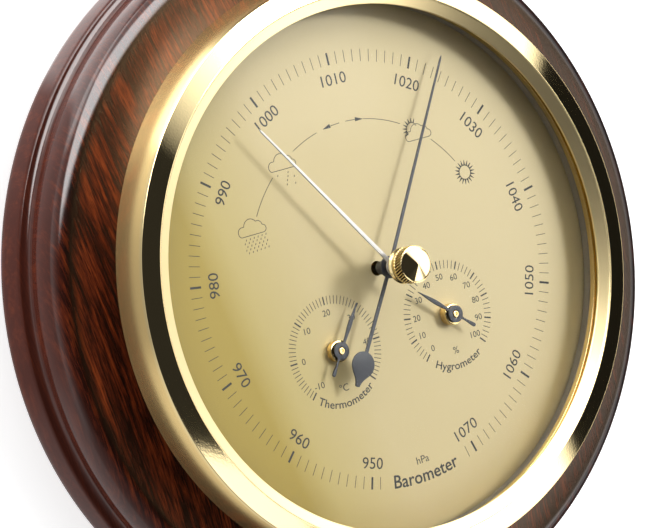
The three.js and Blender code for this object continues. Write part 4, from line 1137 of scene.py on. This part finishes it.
def makeStudio(v):
    # light and dark round the object, for the metal and glass to mirror; the camera itself sees plain white
    world = bpy.data.worlds.new("studio")
    bpy.context.scene.world = world
    world.use_nodes = True
    nodes, links = world.node_tree.nodes, world.node_tree.links
    direction = nodes.new("ShaderNodeTexCoord")
    apart = nodes.new("ShaderNodeSeparateXYZ")
    links.new(direction.outputs["Generated"], apart.inputs[0])
    front = calc(nodes, links, "MULTIPLY", apart.outputs["Y"], -1.0)
    turn = calc(nodes, links, "DEGREES", calc(nodes, links, "ARCTAN2", apart.outputs["X"], front), 0.0)
    height = calc(nodes, links, "DEGREES", calc(nodes, links, "ARCSINE", apart.outputs["Z"], 0.0), 0.0)
    place = calc(nodes, links, "ADD", calc(nodes, links, "DIVIDE", turn, 360.0), 0.5)
    brightest = v["brightest"]
    light = None
    for name, stops in v["levels"].items():
        band = ramp(nodes, [(angle / 360 + 0.5, (level / brightest,) * 3) for angle, level in stops])
        links.new(place, band.inputs["Fac"])
        if light is None:
            light = band.outputs["Color"]
            continue
        start, end = v["blends"][name]
        blend = edgeAt(nodes, links, height, (start + end) / 2, end - start)
        light = mixColour(nodes, links, "MIX", blend, light, band.outputs["Color"])
    w, p = v["window"], v["patch"]
    fromLeft = calc(nodes, links, "SUBTRACT", turn, calc(nodes, links, "MULTIPLY", height, w["leftLean"]))
    fromRight = calc(nodes, links, "SUBTRACT", turn, calc(nodes, links, "MULTIPLY", height, w["rightLean"]))
    window = allOf(nodes, links, [
        edgeAt(nodes, links, fromLeft, w["left"], w["leftSoft"]),
        notOf(nodes, links, edgeAt(nodes, links, fromRight, w["right"], 1.2)),
        within(nodes, links, height, w["low"], w["high"], 2, 6)])
    slanting = calc(nodes, links, "SUBTRACT", height, calc(nodes, links, "MULTIPLY", turn, p["fall"]))
    cut = p["corner"][1] - p["fall"] * p["corner"][0]
    patch = allOf(nodes, links, [
        notOf(nodes, links, edgeAt(nodes, links, slanting, cut, 0.5)),
        within(nodes, links, turn, p["left"], p["right"], 1, 1), edgeAt(nodes, links, height, p["low"], 1)])
    light = mixColour(nodes, links, "MIX", patch, light, (p["level"] / brightest,) * 3)
    light = mixColour(nodes, links, "MIX", window, light, (w["level"] / brightest,) * 3)
    path = nodes.new("ShaderNodeLightPath")
    for card in v["cards"]:
        shown = allOf(nodes, links, [cardAt(nodes, links, turn, height, card), path.outputs["Is Glossy Ray"]])
        light = mixColour(nodes, links, "MIX", shown, light, (card["level"] / brightest,) * 3)
    light = mixColour(nodes, links, "MIX", path.outputs["Is Camera Ray"], light, (1 / brightest,) * 3)
    links.new(light, nodes["Background"].inputs["Color"])
    nodes["Background"].inputs["Strength"].default_value = brightest


def lookAt(place, target):
    # the local z axis points from the target to the place, and x lies level
    place, target = np.asarray(place, float), np.asarray(target, float)
    back = (place - target) / np.linalg.norm(place - target)
    side = np.cross((0, 0, 1), back)
    side /= np.linalg.norm(side)
    return Matrix(np.column_stack([side, np.cross(back, side), back]).tolist()).to_euler()


keyValues = {"place": (0.811, -1.298, 0.242), "width": 0.28, "height": 0.28, "power": 7.6}


def areaLight(name, v):
    light = bpy.data.lights.new(name, "AREA")
    light.shape = "RECTANGLE"
    light.size = v["width"]
    light.size_y = v["height"]
    light.energy = v["power"]
    lamp = bpy.data.objects.new(name, light)
    lamp.location = v["place"]
    lamp.rotation_euler = lookAt(v["place"], (0, 0, 0))
    bpy.context.scene.collection.objects.link(lamp)


makeWall(wallValues)
makeStudio(studioValues)
areaLight("key", keyValues)
print("studio made")

cameraValues = {"lens": 144.57, "place": (-0.345247, -0.513113, 0.056841),
                "turn": (84.74472, 13.41115, -35.57664)}
camera = bpy.data.cameras.new("camera")
camera.lens = cameraValues["lens"]
camera.sensor_width = 36.0
camera.clip_start = 0.01
viewer = bpy.data.objects.new("camera", camera)
viewer.location = cameraValues["place"]
viewer.rotation_euler = [math.radians(angle) for angle in cameraValues["turn"]]
bpy.context.scene.collection.objects.link(viewer)
bpy.context.scene.camera = viewer

bpy.context.scene.view_settings.view_transform = "Standard"

print("scene ready")
